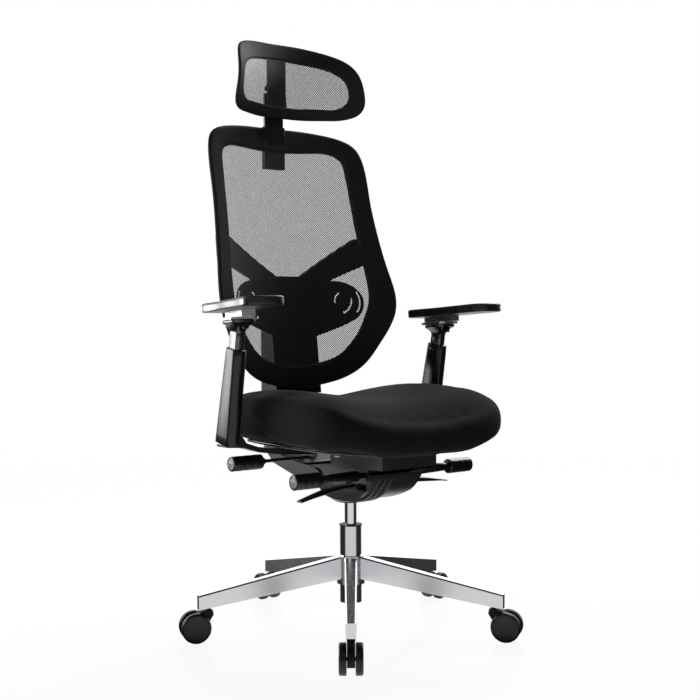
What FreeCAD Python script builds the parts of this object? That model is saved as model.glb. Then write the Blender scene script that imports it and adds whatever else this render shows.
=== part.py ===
"""High-back mesh swivel chair: five-leg base on casters, gas column, synchronous tilt mechanism, seat, back and arms.

Frame: millimetres, +Z up, origin on the floor on the swivel axis. The sitter faces -Y, the sitter's left is +X.
"""
import FreeCAD, Part
import math
import os

from FreeCAD import Vector

os.makedirs("parts", exist_ok=True)

# ---------------------------------------------------------------- base and casters
base_radius = 350.0          # swivel axis to the tip of a leg
base_turn = -37.7            # heading of the first leg, degrees from the front
leg_count = 5
hub_radius = 32.0
hub_bottom = 104.0
hub_top = 167.0
leg_root_width = 28.0
leg_root_height = 50.0
leg_tip_width = 21.0
leg_tip_height = 31.0
leg_tip_top = 101.0
leg_wall = 4.0
leg_edge = 3.0               # bevel along the leg's top edges
caster_inset = 22.0          # leg tip to caster stem axis
stem_radius = 5.5
stem_bore_gap = 0.06
stem_depth = 24.0            # stem length inside the leg
wheel_radius = 32.5
wheel_width = 16.0
wheel_gap = 17.0             # clear distance between the twin wheels
wheel_edge = 3.5
caster_trail = 29.0
caster_height_gap = 2.0      # caster hood to the leg's underside
hood_low = 21.0              # open space below the hood, between the twin wheels
axle_radius = 4.0
running_gap = 0.06           # radial clearance of parts that turn on each other
side_gap = 0.4               # side clearance of parts that turn beside each other

# ---------------------------------------------------------------- gas column
tube_radius = 25.0
tube_wall = 2.0
tube_bottom = 62.0
tube_top = 235.0
tube_floor = 2.5
bush_length = 86.0
bush_flange = 2.5
cylinder_radius = 14.0
cylinder_wall = 1.5
cylinder_bottom = 135.0
taper_length = 50.0
taper_drop = 0.8             # radius lost over the taper
lift_down = 55.0
lift_up = 45.0
rod_radius = 5.0
piston_height = 8.0
pin_radius = 3.0
pin_stand = 6.0
pin_depth = 12.0

# ---------------------------------------------------------------- tilt mechanism
tray_half = 60.0             # half width of the cast tray
tray_wall = 4.0
tray_front = -140.0
tray_rear = 95.0
tray_bottom = 322.0
tray_front_top = 398.0
tray_rear_top = 366.0
boss_radius = 22.0
back_pivot_y = 45.0
back_pivot_z = 350.0
back_pivot_radius = 6.0
seat_pivot_y = -122.0
seat_pivot_z = 391.0
seat_pivot_radius = 5.0
cowl_half = 68.0
cowl_wall = 3.0
cowl_bottom = 298.0
cowl_rim = 334.0
cowl_front = -168.0
cowl_front_top = 370.0
cowl_rear = 28.0
cowl_keel = 46.0             # half width of the cowl's flat bottom
plate_half = 75.0
plate_front = -207.0
plate_rear = 95.0
plate_under = 408.0
plate_thick = 4.0
plate_wall = 4.0
grip_y = -126.0
grip_z = 366.0
grip_end = 246.0
grip_length = 66.0
grip_radius = 16.5
grip_arm_radius = 9.0
grip_shaft_radius = 6.5
grip_collar = 9.0
paddle_y = -90.0
paddle_pivot_x = 65.0
paddle_pivot_z = 342.0
paddle_reach = 205.0
paddle_drop = 24.0
paddle_width = 34.0
paddle_thick = 4.0
lever_y = 60.0
lever_z = 389.0
lever_end = 280.0
lever_rod_radius = 4.0
lever_grip_length = 78.0
lever_grip_radius = 16.5

# ---------------------------------------------------------------- seat
seat_half = 252.0
seat_front = -300.0
seat_rear = 205.0
pan_half = 234.0
pan_front = -262.0
pan_rear = 188.0
pan_bottom = 412.4
pan_thick = 7.0
pan_side_rise = 26.0
pan_end_rise = 9.0
crown_height = 549.0         # highest line of the cushion's sides
seat_slide = 50.0
stud_x = 45.0                # slide studs: distance from the middle, then their places along the chair
stud_places = (-140.0, 40.0)
stud_radius = 3.5
stud_head = 7.0

# ---------------------------------------------------------------- back
back_bottom = 536.0
back_top = 1167.0
back_foot_y = 190.0          # front of the mesh at the foot of the back
back_foot_z = 540.0
back_lean = 0.113            # slope of the mesh at its foot
back_curl = 1.14e-4          # growth of that slope with height
back_wrap = 1.15e-3          # forward curl of the sides, per mm of half width squared
ring_depth = 15.0
ring_lead = 1.0              # frame in front of the mesh's own face
mesh_thick = 1.6
support_depth = 12.0
spine_half = 65.0
spine_bottom = 523.0
spine_top = 700.0
spine_rear = 270.0
tongue_half = 38.0
tongue_front = 239.0
tongue_rear = 257.0
tongue_top = 628.0
tongue_gap = 0.4
lumbar_thick = 3.0
lumbar_set = 4.0             # mesh face to lumbar front
slot_width = 5.0
lumbar_up = 25.0
lumbar_down = 15.0
runner_half = 6.0
runner_low = 726.0
runner_high = 750.0

# ---------------------------------------------------------------- headrest
clip_half = 29.5
clip_bottom = 1067.0
clip_top = 1169.0
clip_front = 294.0
clip_rear = 312.0
head_stem_half = 27.0
head_stem_thick = 9.0
head_stem_bottom = 1082.0
head_apex = 1262.0           # height of the headrest's foremost line
head_front = 252.0
head_bow = 4.2e-3
head_wrap = 2.6e-3
head_depth = 13.0
head_bar_half = 28.0
head_hinge_z = 1262.0
head_hinge_radius = 4.0

# ---------------------------------------------------------------- arms
arm_x = 286.0
arm_foot_y = 62.0
arm_foot_z = 432.0
arm_lean = 10.0              # forward lean of the arm post, degrees
sleeve_length = 211.0
sleeve_bore_x = 22.0
sleeve_bore_y = 34.0
sleeve_gap = 0.35
stem_top = 252.0             # along the post, from the sleeve's foot to the neck
stem_reach = 70.0            # lower end of the stem inside the sleeve
pad_length = 240.0
pad_width = 92.0
pad_thick = 19.0
pad_pitch = 4.0              # rise of the pad towards the front, degrees
pad_shift_x = 8.0
pad_mid_y = -27.0
pad_mid_z = 726.0
pad_toe = 7.0                # outward turn of the pad, degrees
arm_notch = 7.0              # the right arm stands this much above the mean height, the left below
hub_y = 44.0                 # turntable axis behind the pad's middle
neck_half_x = 29.0
neck_half_y = 31.0
turn_half = 33.0
turn_thick = 5.0
slider_thick = 14.0
layer_gap = 0.4


def box(x0, x1, y0, y1, z0, z1):
    """A block between two corners."""
    return Part.makeBox(x1 - x0, y1 - y0, z1 - z0, Vector(x0, y0, z0))


def rod(radius, start, end):
    """A round bar between two points."""
    a, b = Vector(*start), Vector(*end)
    return Part.makeCylinder(radius, (b - a).Length, a, b - a)


def cone(r0, r1, start, end):
    """A tapered round bar between two points."""
    a, b = Vector(*start), Vector(*end)
    return Part.makeCone(r0, r1, (b - a).Length, a, b - a)


def ring(outer, inner, z0, z1):
    """A vertical tube on the swivel axis."""
    return rod(outer, (0, 0, z0), (0, 0, z1)).cut(rod(inner, (0, 0, z0 - 1), (0, 0, z1 + 1)))


def polygon(points):
    """A flat face from corner points."""
    corners = [Vector(*p) for p in points]
    return Part.Face(Part.makePolygon(corners + corners[:1]))


def rounded(points, radius):
    """A flat face from corner points, each corner an arc of the given radius where its sides allow."""
    corners = [Vector(*p) for p in points]
    count = len(corners)
    arcs = []
    for i, corner in enumerate(corners):
        before = corners[i - 1] - corner
        after = corners[(i + 1) % count] - corner
        half = before.getAngle(after) / 2
        reach = min(radius / math.tan(half), 0.49 * before.Length, 0.49 * after.Length)
        before.normalize()
        after.normalize()
        middle = before + after
        middle.normalize()
        size = reach * math.tan(half)
        dip = corner + middle * (size / math.sin(half) - size)
        arcs.append((corner + before * reach, dip, corner + after * reach))
    edges = []
    for i, arc in enumerate(arcs):
        edges.append(Part.Arc(*arc).toShape())
        edges.append(Part.LineSegment(arc[2], arcs[(i + 1) % count][0]).toShape())
    return Part.Face(Part.Wire(edges))


def closed_curve(half_points):
    """A flat face in the XZ plane inside a smooth loop; the points are its right half, from top to bottom."""
    left = [(-x, z) for x, z in half_points[-2:0:-1]]
    loop = Part.BSplineCurve()
    loop.interpolate([Vector(x, 0, z) for x, z in half_points + left], PeriodicFlag=True)
    return Part.Face(Part.Wire(loop.toShape()))


def mirrored_polygon(half_points, radius):
    """A face in the XZ plane with rounded corners; the points are its right half."""
    left = [(-x, z) for x, z in reversed(half_points)]
    return rounded([(x, 0, z) for x, z in half_points + left], radius)


def through(face, y0, y1):
    """A flat XZ face carried along Y."""
    moved = face.copy()
    moved.translate(Vector(0, y0, 0))
    return moved.extrude(Vector(0, y1 - y0, 0))


def curved_slab(height, span_u, span_v, steps, lift, along):
    """A layer of even thickness on a curved surface; height(u, v) gives the third coordinate."""
    rows = []
    for i in range(steps + 1):
        u = span_u[0] + (span_u[1] - span_u[0]) * i / steps
        row = []
        for j in range(steps + 1):
            v = span_v[0] + (span_v[1] - span_v[0]) * j / steps
            h = height(u, v)
            row.append(Vector(u, h, v) if along == "y" else Vector(u, v, h))
        rows.append(row)
    surface = Part.BSplineSurface()
    surface.interpolate(rows)
    start, thickness = lift
    direction = Vector(0, 1, 0) if along == "y" else Vector(0, 0, 1)
    face = surface.toShape()
    face.translate(direction * start)
    return face.extrude(direction * thickness)


def back_line(z):
    """The mesh's front face on the centre line: a curve that leans further back as it rises."""
    rise = z - back_foot_z
    return back_foot_y + back_lean * rise + back_curl * rise**2


def back_face(x, z):
    """The mesh's front face."""
    return back_line(z) - back_wrap * x**2


def head_face(x, z):
    """The headrest mesh's front face: bowed forward at mid height, curled forward at the ends."""
    return head_front + head_bow * (z - head_apex) ** 2 - head_wrap * x**2


def pan_face(x, y):
    """The seat pan's underside: flat in the middle, rising to its edges."""
    return pan_bottom + pan_side_rise * (x / pan_half) ** 4 + pan_end_rise * ((y + 37.0) / 225.0) ** 4


def cushion_top(x, y):
    """The cushion's upper face: a long arch from rear to front, dished between the sides, with a falling front."""
    arch = 33.0 * ((y + 50.0) / 270.0) ** 2
    front = 46.0 * max(0.0, (-y - 175.0) / 125.0) ** 2
    dish = 20.0 * (1 - min(1.0, (x / 215.0) ** 2)) ** 2
    side = 26.0 * max(0.0, (abs(x) - 205.0) / 47.0) ** 2
    return crown_height - arch - front - dish - side


def cushion_base(x, y):
    """The cushion's underside: it rests on the pan and curls up towards its sides and its front edge."""
    side = 16.0 * max(0.0, (abs(x) - 218.0) / 34.0) ** 2
    front = 34.0 * max(0.0, (-y - 250.0) / 50.0) ** 2
    return pan_face(x, y) + pan_thick + 0.3 + side + front


def leg_section(r, width, z_low, z_high, bevel):
    """A leg's cross-section, on its own radial plane."""
    w = width / 2
    points = [(r, -w, z_low), (r, w, z_low), (r, w, z_high - bevel), (r, w - bevel, z_high)]
    points += [(r, -w + bevel, z_high), (r, -w, z_high - bevel)]
    return Part.makePolygon([Vector(*p) for p in points + points[:1]])


def turned(shape, degrees):
    """A copy turned about the swivel axis."""
    copy = shape.copy()
    copy.rotate(Vector(0, 0, 0), Vector(0, 0, 1), degrees)
    return copy


def mirrored(shape):
    """The same part for the other side of the chair."""
    return shape.mirror(Vector(0, 0, 0), Vector(1, 0, 0))


def heading(k):
    """Angle of leg k from +X, degrees."""
    return base_turn - 90.0 + k * 360.0 / leg_count


stem_circle = base_radius - caster_inset
leg_tip_bottom = leg_tip_top - leg_tip_height


def base_star():
    """Cast hub and five tapered legs, hollow below, with a socket for a caster stem in each tip."""
    root = hub_radius - 10.0
    leg = Part.makeLoft([
        leg_section(root, leg_root_width, hub_top - leg_root_height, hub_top, leg_edge),
        leg_section(base_radius, leg_tip_width, leg_tip_bottom, leg_tip_top, leg_edge)], True, True)
    share = 0.86
    hollow_end = root + (base_radius - root) * share

    def at(a, b):
        return a + (b - a) * share

    hollow = Part.makeLoft([
        leg_section(root, leg_root_width - 2 * leg_wall, hub_bottom - 20, hub_top - leg_wall, leg_edge),
        leg_section(hollow_end, at(leg_root_width, leg_tip_width) - 2 * leg_wall, leg_tip_bottom - 40,
                    at(hub_top, leg_tip_top) - leg_wall, leg_edge)], True, True)
    leg = leg.cut(hollow)
    socket = rod(stem_radius + stem_bore_gap, (stem_circle, 0, leg_tip_bottom - 1),
                 (stem_circle, 0, leg_tip_bottom + stem_depth + 1))
    leg = leg.cut(socket)
    hub = rod(hub_radius, (0, 0, hub_bottom), (0, 0, hub_top))
    star = hub.fuse([turned(leg, heading(k)) for k in range(leg_count)])
    return star.cut(rod(tube_radius, (0, 0, 0), (0, 0, hub_top + 20))).removeSplitter()


def caster(k):
    """One twin-wheel caster: hood with its stem and axle, then the two wheels, trailing outwards."""
    wheel_x = stem_circle + caster_trail
    hood_half = wheel_gap / 2 - side_gap
    hood_top = leg_tip_bottom - caster_height_gap
    profile = polygon([(wheel_x - 26, -hood_half, wheel_radius + 4), (stem_circle - 11, -hood_half, hood_top - 10),
                       (stem_circle - 9, -hood_half, hood_top), (stem_circle + 10, -hood_half, hood_top),
                       (wheel_x + 8, -hood_half, wheel_radius + 26), (wheel_x + 24, -hood_half, wheel_radius + 6)])
    web = profile.extrude(Vector(0, 2 * hood_half, 0))
    drum = rod(26.0, (wheel_x, -hood_half, wheel_radius), (wheel_x, hood_half, wheel_radius))
    collar = rod(9.0, (stem_circle, 0, hood_top - 8), (stem_circle, 0, hood_top))
    hood = web.fuse([drum, collar]).removeSplitter()
    hood = hood.cut(box(wheel_x - 40, wheel_x + 40, -hood_half - 1, hood_half + 1, 0, hood_low))
    hood = hood.cut(rod(axle_radius, (wheel_x, -30, wheel_radius), (wheel_x, 30, wheel_radius)))
    stem_low = hood_top - 20.0
    stem = rod(stem_radius, (stem_circle, 0, stem_low), (stem_circle, 0, leg_tip_bottom + stem_depth))
    hood = hood.cut(stem)
    half_axle = wheel_gap / 2 + wheel_width - 3.0
    axle = rod(axle_radius, (wheel_x, -half_axle, wheel_radius), (wheel_x, half_axle, wheel_radius))
    pieces = {f"caster_{k + 1}_hood": Part.makeCompound([hood, stem, axle])}
    for name, side in (("inner", 1), ("outer", -1)):
        near = wheel_gap / 2
        wheel = rod(wheel_radius, (wheel_x, side * near, wheel_radius),
                    (wheel_x, side * (near + wheel_width), wheel_radius))
        rims = [e for e in wheel.Edges if isinstance(e.Curve, Part.Circle)]
        wheel = wheel.makeFillet(wheel_edge, rims)
        wheel = wheel.cut(rod(axle_radius + running_gap, (wheel_x, 0, wheel_radius),
                              (wheel_x, side * (near + wheel_width - 2.5), wheel_radius)))
        pieces[f"caster_{k + 1}_wheel_{name}"] = wheel
    return {name: turned(shape, heading(k)) for name, shape in pieces.items()}


def column():
    """Gas column: outer tube, guide bush, thrust bearing, rod with its piston, pressure cylinder and release pin."""
    tube = ring(tube_radius, tube_radius - tube_wall, tube_bottom, tube_top)
    tube = tube.fuse(ring(tube_radius - tube_wall, rod_radius + 1.0, tube_bottom, tube_bottom + tube_floor))
    bush = ring(tube_radius - tube_wall, cylinder_radius + running_gap, tube_top - bush_length, tube_top)
    bush = bush.fuse(ring(tube_radius + 0.8, cylinder_radius + running_gap, tube_top, tube_top + bush_flange))
    race_low = tube_bottom + tube_floor
    ball = 2.0
    washer = 1.5
    race = ring(11.0, rod_radius + 1.0, race_low, race_low + washer)
    balls = []
    for i in range(8):
        a = math.radians(45.0 * i)
        centre = Vector(8.5 * math.cos(a), 8.5 * math.sin(a), race_low + washer + ball)
        balls.append(Part.makeSphere(ball, centre))
    race_top = race_low + washer + 2 * ball
    head_low = cylinder_bottom + lift_up + 6.0
    shaft = rod(rod_radius, (0, 0, tube_bottom - 4), (0, 0, head_low))
    shaft = shaft.fuse([rod(11.0, (0, 0, race_top + 0.05), (0, 0, race_top + washer)),
                        rod(cylinder_radius - cylinder_wall - running_gap, (0, 0, head_low),
                            (0, 0, head_low + piston_height))])
    clip = ring(9.0, rod_radius, tube_bottom - 2.0, tube_bottom - 0.5)
    cylinder_top = tray_bottom + taper_length
    shell = rod(cylinder_radius, (0, 0, cylinder_bottom), (0, 0, tray_bottom))
    shell = shell.fuse(cone(cylinder_radius, cylinder_radius - taper_drop, (0, 0, tray_bottom), (0, 0, cylinder_top)))
    shell = shell.cut(rod(cylinder_radius - cylinder_wall, (0, 0, cylinder_bottom + 4), (0, 0, tray_bottom - 4)))
    shell = shell.cut(rod(rod_radius + running_gap, (0, 0, cylinder_bottom - 1), (0, 0, cylinder_bottom + 6)))
    shell = shell.cut(rod(pin_radius + running_gap, (0, 0, cylinder_top - pin_depth), (0, 0, cylinder_top + 1)))
    pin = rod(pin_radius, (0, 0, cylinder_top - pin_depth + 5.5), (0, 0, cylinder_top + pin_stand))
    return {"column_tube": tube, "column_guide_bush": bush, "column_thrust_bearing": Part.makeCompound([race] + balls),
            "column_piston_rod": Part.makeCompound([shaft, clip]), "column_gas_cylinder": shell,
            "column_release_pin": pin}


def tray_side(inset, raise_top=0.0):
    """The tray's side view, drawn in by a wall where asked."""
    return polygon([(0, tray_front + inset, 350 + inset * 0.4), (0, tray_front + inset, tray_front_top + raise_top),
                    (0, tray_rear - inset, tray_rear_top + raise_top), (0, tray_rear - inset, 340 + inset * 0.4),
                    (0, 20, tray_bottom + inset), (0, -60, tray_bottom + inset)])


def across(face, half):
    """A flat YZ face carried across the chair, symmetrical about the middle."""
    moved = face.copy()
    moved.translate(Vector(-half, 0, 0))
    return moved.extrude(Vector(2 * half, 0, 0))


def tray():
    """Cast tray with the socket for the column's taper, pivot holes and the lugs of the two paddles."""
    body = across(tray_side(0), tray_half).cut(across(tray_side(tray_wall, 20), tray_half - tray_wall))
    socket_top = tray_bottom + taper_length
    body = body.fuse(rod(boss_radius, (0, 0, tray_bottom), (0, 0, socket_top - 2)))
    lugs = []
    for side in (-1, 1):
        for offset in (-(paddle_width / 2 + 5.3), paddle_width / 2 + 0.3):
            x0, x1 = sorted((side * tray_half, side * (paddle_pivot_x + 4.5)))
            lugs.append(box(x0, x1, paddle_y + offset, paddle_y + offset + 5, paddle_pivot_z - 5, paddle_pivot_z + 5))
    body = body.fuse(lugs)
    body = body.cut(cone(cylinder_radius, cylinder_radius - taper_drop, (0, 0, tray_bottom), (0, 0, socket_top)))
    body = body.cut(rod(back_pivot_radius, (-100, back_pivot_y, back_pivot_z), (100, back_pivot_y, back_pivot_z)))
    body = body.cut(rod(seat_pivot_radius, (-100, seat_pivot_y, seat_pivot_z), (100, seat_pivot_y, seat_pivot_z)))
    body = body.cut(rod(grip_shaft_radius + running_gap, (-100, grip_y, grip_z), (100, grip_y, grip_z)))
    return body.removeSplitter()


def cowl_side():
    """The cowl's side view: a bowl that sweeps up to the front."""
    low = Part.BSplineCurve()
    low.interpolate([Vector(0, cowl_front, cowl_front_top - 6), Vector(0, -126, 322), Vector(0, -64, 301),
                     Vector(0, -12, cowl_bottom), Vector(0, cowl_rear, 306)])
    corners = [Vector(0, cowl_rear, 306), Vector(0, cowl_rear, cowl_rim), Vector(0, tray_front - 2, cowl_rim),
               Vector(0, tray_front - 2, cowl_front_top), Vector(0, cowl_front, cowl_front_top),
               Vector(0, cowl_front, cowl_front_top - 6)]
    return Part.Face(Part.Wire([low.toShape()] + Part.makePolygon(corners).Edges))


def cowl_hull(inset):
    """The cowl's front view, drawn in by a wall where asked, as a long prism."""
    half, keel = cowl_half - inset, cowl_keel - inset
    low = cowl_bottom - 4
    outline = [(-half, 0, 420), (-half, 0, 324), (-keel, 0, low), (keel, 0, low), (half, 0, 324), (half, 0, 420)]
    return through(polygon(outline), -300, 300)


def cowl():
    """Moulded lower cover of the mechanism, open at the top, with a hole for the column and ribs to the tray."""
    solid = across(cowl_side(), cowl_half)
    outer = solid.common(cowl_hull(0))
    core = solid.translated(Vector(0, 0, cowl_wall)).common(cowl_hull(cowl_wall))
    core = core.common(box(-200, 200, cowl_front + cowl_wall, cowl_rear - cowl_wall, 0, 600))
    opening = core.fuse(core.translated(Vector(0, 0, cowl_wall)))
    opening = opening.fuse(core.translated(Vector(0, 0, 2 * cowl_wall)))
    shell = outer.cut(opening)
    half = tray_half + side_gap
    shell = shell.cut(box(-half, half, cowl_rear - cowl_wall - 1, cowl_rear + 1, tray_bottom - side_gap, 420))
    ribs = []
    for y in (-70.0, 8.0):
        for x0, x1 in ((-cowl_half + 1, -tray_half), (tray_half, cowl_half - 1)):
            ribs.append(box(x0, x1, y, y + 4, cowl_rim - 9, cowl_rim))
    return shell.fuse(ribs).cut(rod(cylinder_radius + 8, (0, 0, 280), (0, 0, 330)))


def pivot_shafts():
    """The two cross shafts that carry the back bracket and the seat plate."""
    back = rod(back_pivot_radius, (-69, back_pivot_y, back_pivot_z), (69, back_pivot_y, back_pivot_z))
    seat = rod(seat_pivot_radius, (-plate_half, seat_pivot_y, seat_pivot_z),
               (plate_half, seat_pivot_y, seat_pivot_z))
    return Part.makeCompound([back, seat])


def tilt_springs():
    """Two coil springs lying fore and aft in the tray."""
    pitch, turns, coil, wire = 8.0, 10, 10.0, 1.6
    springs = []
    for x in (-36.0, 36.0):
        helix = Part.makeHelix(pitch, pitch * turns, coil)
        start = Part.Wire(Part.makeCircle(wire, Vector(coil, 0, 0), Vector(0, 1, 0)))
        spring = Part.Wire(helix.Edges).makePipeShell([start], True, True)
        spring.rotate(Vector(0, 0, 0), Vector(1, 0, 0), -90)
        spring.translate(Vector(x, -106, 354))
        springs.append(spring)
    return Part.makeCompound(springs)


def grip(side):
    """A twist grip on its half shaft at the mechanism's front; side is -1 for the sitter's right."""
    inner = grip_end - grip_length

    def at(x):
        return (side * x, grip_y, grip_z)

    shaft = rod(grip_shaft_radius, at(0.6), at(80))
    collar = rod(grip_collar, at(tray_half - tray_wall - 4.4), at(tray_half - tray_wall - side_gap))
    arm = cone(grip_arm_radius + 2.5, grip_arm_radius, at(79), at(inner - 6))
    neck = rod(grip_arm_radius - 2, at(inner - 7), at(inner + 5))
    barrel = rod(grip_radius, at(inner), at(grip_end))
    barrel = barrel.makeFillet(2.5, [e for e in barrel.Edges if isinstance(e.Curve, Part.Circle)])
    return shaft.fuse([collar, arm, neck, barrel]).removeSplitter()


def paddle(side):
    """A flat finger paddle below the grip, sloping down to its tip, with its pivot pin."""
    x0, x1 = paddle_pivot_x - 4.0, paddle_reach
    z0, z1 = paddle_pivot_z, paddle_pivot_z - paddle_drop
    t = paddle_thick / 2
    half = paddle_width / 2
    y = paddle_y
    blade = polygon([(x0, 0, z0 + t), (x0, 0, z0 - t), (82, 0, z0 - t), (x1, 0, z1 - t), (x1, 0, z1), (84, 0, z0 + t)])
    blade = through(blade, y - half, y + half)
    plan = rounded([(x0 - 5, y - half - 5, 0), (x0 - 5, y + half, 0), (130, y + half, 0), (x1, y + half - 10, 0),
                    (x1, y - half + 4, 0), (130, y - half, 0), (130, y - half - 5, 0)], 6)
    blade = blade.common(plan.extrude(Vector(0, 0, 600)))
    pin = rod(1.6, (paddle_pivot_x, y - half - 5, paddle_pivot_z), (paddle_pivot_x, y + half + 5, paddle_pivot_z))
    hub = rod(3.4, (paddle_pivot_x, y - half + 0.5, paddle_pivot_z), (paddle_pivot_x, y + half - 0.5, paddle_pivot_z))
    blade = blade.fuse(hub).cut(pin)
    shapes = [blade, pin]
    return [s if side > 0 else mirrored(s) for s in shapes]


def seat_plate():
    """Pressed plate under the seat with side walls, rear flanges for the arms and two slide rails."""
    top = box(-plate_half, plate_half, plate_front, plate_rear, plate_under, plate_under + plate_thick)
    front = box(-plate_half, plate_half, plate_front, plate_front + plate_wall, 384, plate_under)
    wall = polygon([(0, plate_front, 384), (0, plate_front, plate_under), (0, -25, plate_under), (0, -25, 374)])
    flange = polygon([(0, 30, plate_under), (0, 30, 394), (0, lever_y - 9, 377), (0, lever_y + 9, 377), (0, 92, 394),
                      (0, 92, plate_under)])
    parts = [top, front]
    for side in (-1, 1):
        for face in (wall, flange):
            moved = face.copy()
            moved.translate(Vector(side * plate_half, 0, 0))
            parts.append(moved.extrude(Vector(-side * plate_wall, 0, 0)))
    plate = parts[0].fuse(parts[1:]).removeSplitter()
    plate = plate.cut(rod(seat_pivot_radius + running_gap, (-100, seat_pivot_y, seat_pivot_z),
                          (100, seat_pivot_y, seat_pivot_z)))
    for x in (-stud_x, stud_x):
        for y in stud_places:
            reach = stud_radius + layer_gap
            plate = plate.cut(box(x - reach, x + reach, y - seat_slide - reach, y + reach, 400, 420))
    return plate.cut(rod(lever_rod_radius + running_gap, (-100, lever_y, lever_z), (-50, lever_y, lever_z)))


def depth_lever():
    """Seat-depth lever on the sitter's right: a thin rod with a round grip."""
    inner = lever_end - lever_grip_length
    shaft = rod(lever_rod_radius, (-plate_half + plate_wall - 2.5, lever_y, lever_z), (-inner - 6, lever_y, lever_z))
    head = rod(lever_rod_radius + 1.6, (-plate_half + plate_wall + 0.3, lever_y, lever_z),
               (-plate_half + plate_wall + 2.6, lever_y, lever_z))
    grip_body = rod(lever_grip_radius, (-inner, lever_y, lever_z), (-lever_end, lever_y, lever_z))
    grip_body = grip_body.makeFillet(2.5, [e for e in grip_body.Edges if isinstance(e.Curve, Part.Circle)])
    neck = cone(7.0, 9.5, (-inner + 9, lever_y, lever_z), (-inner - 0.5, lever_y, lever_z))
    return shaft.fuse([head, grip_body, neck]).removeSplitter()


def seat_plan(half, front, rear, corner):
    """The seat seen from above: straight sides, a bowed front and a rounded rear."""
    points = [(-half, rear - 30, 0), (-half + 45, rear, 0), (half - 45, rear, 0), (half, rear - 30, 0),
              (half, front + 70, 0), (half - 70, front, 0), (-half + 70, front, 0), (-half, front + 70, 0)]
    return rounded(points, corner)


def seat():
    """Moulded seat pan, cushion, the bolts between them and the headed studs that guide the pan on its plate."""
    span_x, span_y = (-300.0, 300.0), (-340.0, 260.0)
    pan = curved_slab(pan_face, span_x, span_y, 20, (0, pan_thick), "z")
    plan = seat_plan(pan_half, pan_front, pan_rear, 60).extrude(Vector(0, 0, 900))
    pan = pan.common(plan)
    cushion = curved_slab(cushion_base, span_x, span_y, 36, (0, 260), "z")
    cushion = cushion.common(seat_plan(seat_half, seat_front, seat_rear, 62).extrude(Vector(0, 0, 900)))
    above = curved_slab(cushion_top, span_x, span_y, 36, (0, 400), "z")
    cushion = cushion.cut(above)
    bolts = []
    for x in (-150.0, 150.0):
        for y in (-150.0, 110.0):
            low = pan_face(x, y) - 3.0
            bolts.append(rod(7.0, (x, y, low), (x, y, low + 2.8)))
            hole = rod(3.0, (x, y, low), (x, y, low + pan_thick + 12))
            bolts[-1] = bolts[-1].fuse(hole).removeSplitter()
            pan = pan.cut(hole)
            cushion = cushion.cut(hole)
            pan = pan.cut(rod(7.0, (x, y, low), (x, y, low + 2.8)))
    for x in (-stud_x, stud_x):
        for y in stud_places:
            low = plate_under - layer_gap - 4
            stud = rod(stud_radius, (x, y, low), (x, y, pan_bottom + pan_thick - 2))
            stud = stud.fuse(rod(stud_head, (x, y, low), (x, y, plate_under - layer_gap))).removeSplitter()
            bolts.append(stud)
            pan = pan.cut(stud)
    return {"seat_pan": pan, "seat_cushion": cushion, "seat_bolts": Part.makeCompound(bolts)}


def back_bracket():
    """Forked steel bracket: two ears on the tilt pivot, a cross beam, an upright and the tongue of the back slide."""
    ear_in, ear_out = tray_half + 0.4, tray_half + 6.0
    line = [(back_pivot_y - 15, 341), (back_pivot_y - 15, 358), (back_pivot_y, 366), (120, 372), (200, 386),
            (tongue_front - 14, 420), (tongue_front - 4, 470), (tongue_front, 520), (tongue_front, tongue_top),
            (tongue_rear, tongue_top), (tongue_rear, 500), (tongue_rear + 6, 440), (tongue_rear - 4, 395),
            (215, 362), (120, 338), (back_pivot_y, 333)]
    side = rounded([(0, y, z) for y, z in line], 9)
    whole = across(side, ear_out)
    ears_only = box(-ear_in, ear_in, -100, tray_rear + 4, 0, 500)
    upright = box(-ear_out - 1, ear_out + 1, 0, 400, 455, 800).cut(box(-tongue_half, tongue_half, 0, 400, 455, 800))
    whole = whole.cut(ears_only).cut(upright)
    hole = rod(back_pivot_radius + running_gap, (-100, back_pivot_y, back_pivot_z), (100, back_pivot_y, back_pivot_z))
    return whole.cut(hole)


back_outer = [(0, back_top), (80, 1166), (135, 1160), (180, 1149), (209, 1130), (223, 1094), (227, 1045), (228, 985),
              (232, 930), (240, 872), (251, 815), (261, 765), (259, 720), (242, 682), (214, 638), (176, 592),
              (128, 560), (65, 543), (0, back_bottom)]
back_inner = [(0, 1106), (50, 1108), (100, 1111), (148, 1109), (171, 1096), (179, 1065), (182, 1000), (185, 930),
              (190, 868), (197, 812), (202, 770), (199, 738), (187, 708), (170, 678), (145, 642), (112, 613),
              (70, 598), (0, 591)]


def back_slab(start, thickness):
    """A layer that follows the back's curve."""
    return curved_slab(back_face, (-290.0, 290.0), (500.0, 1210.0), 16, (start, thickness), "y")


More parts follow.
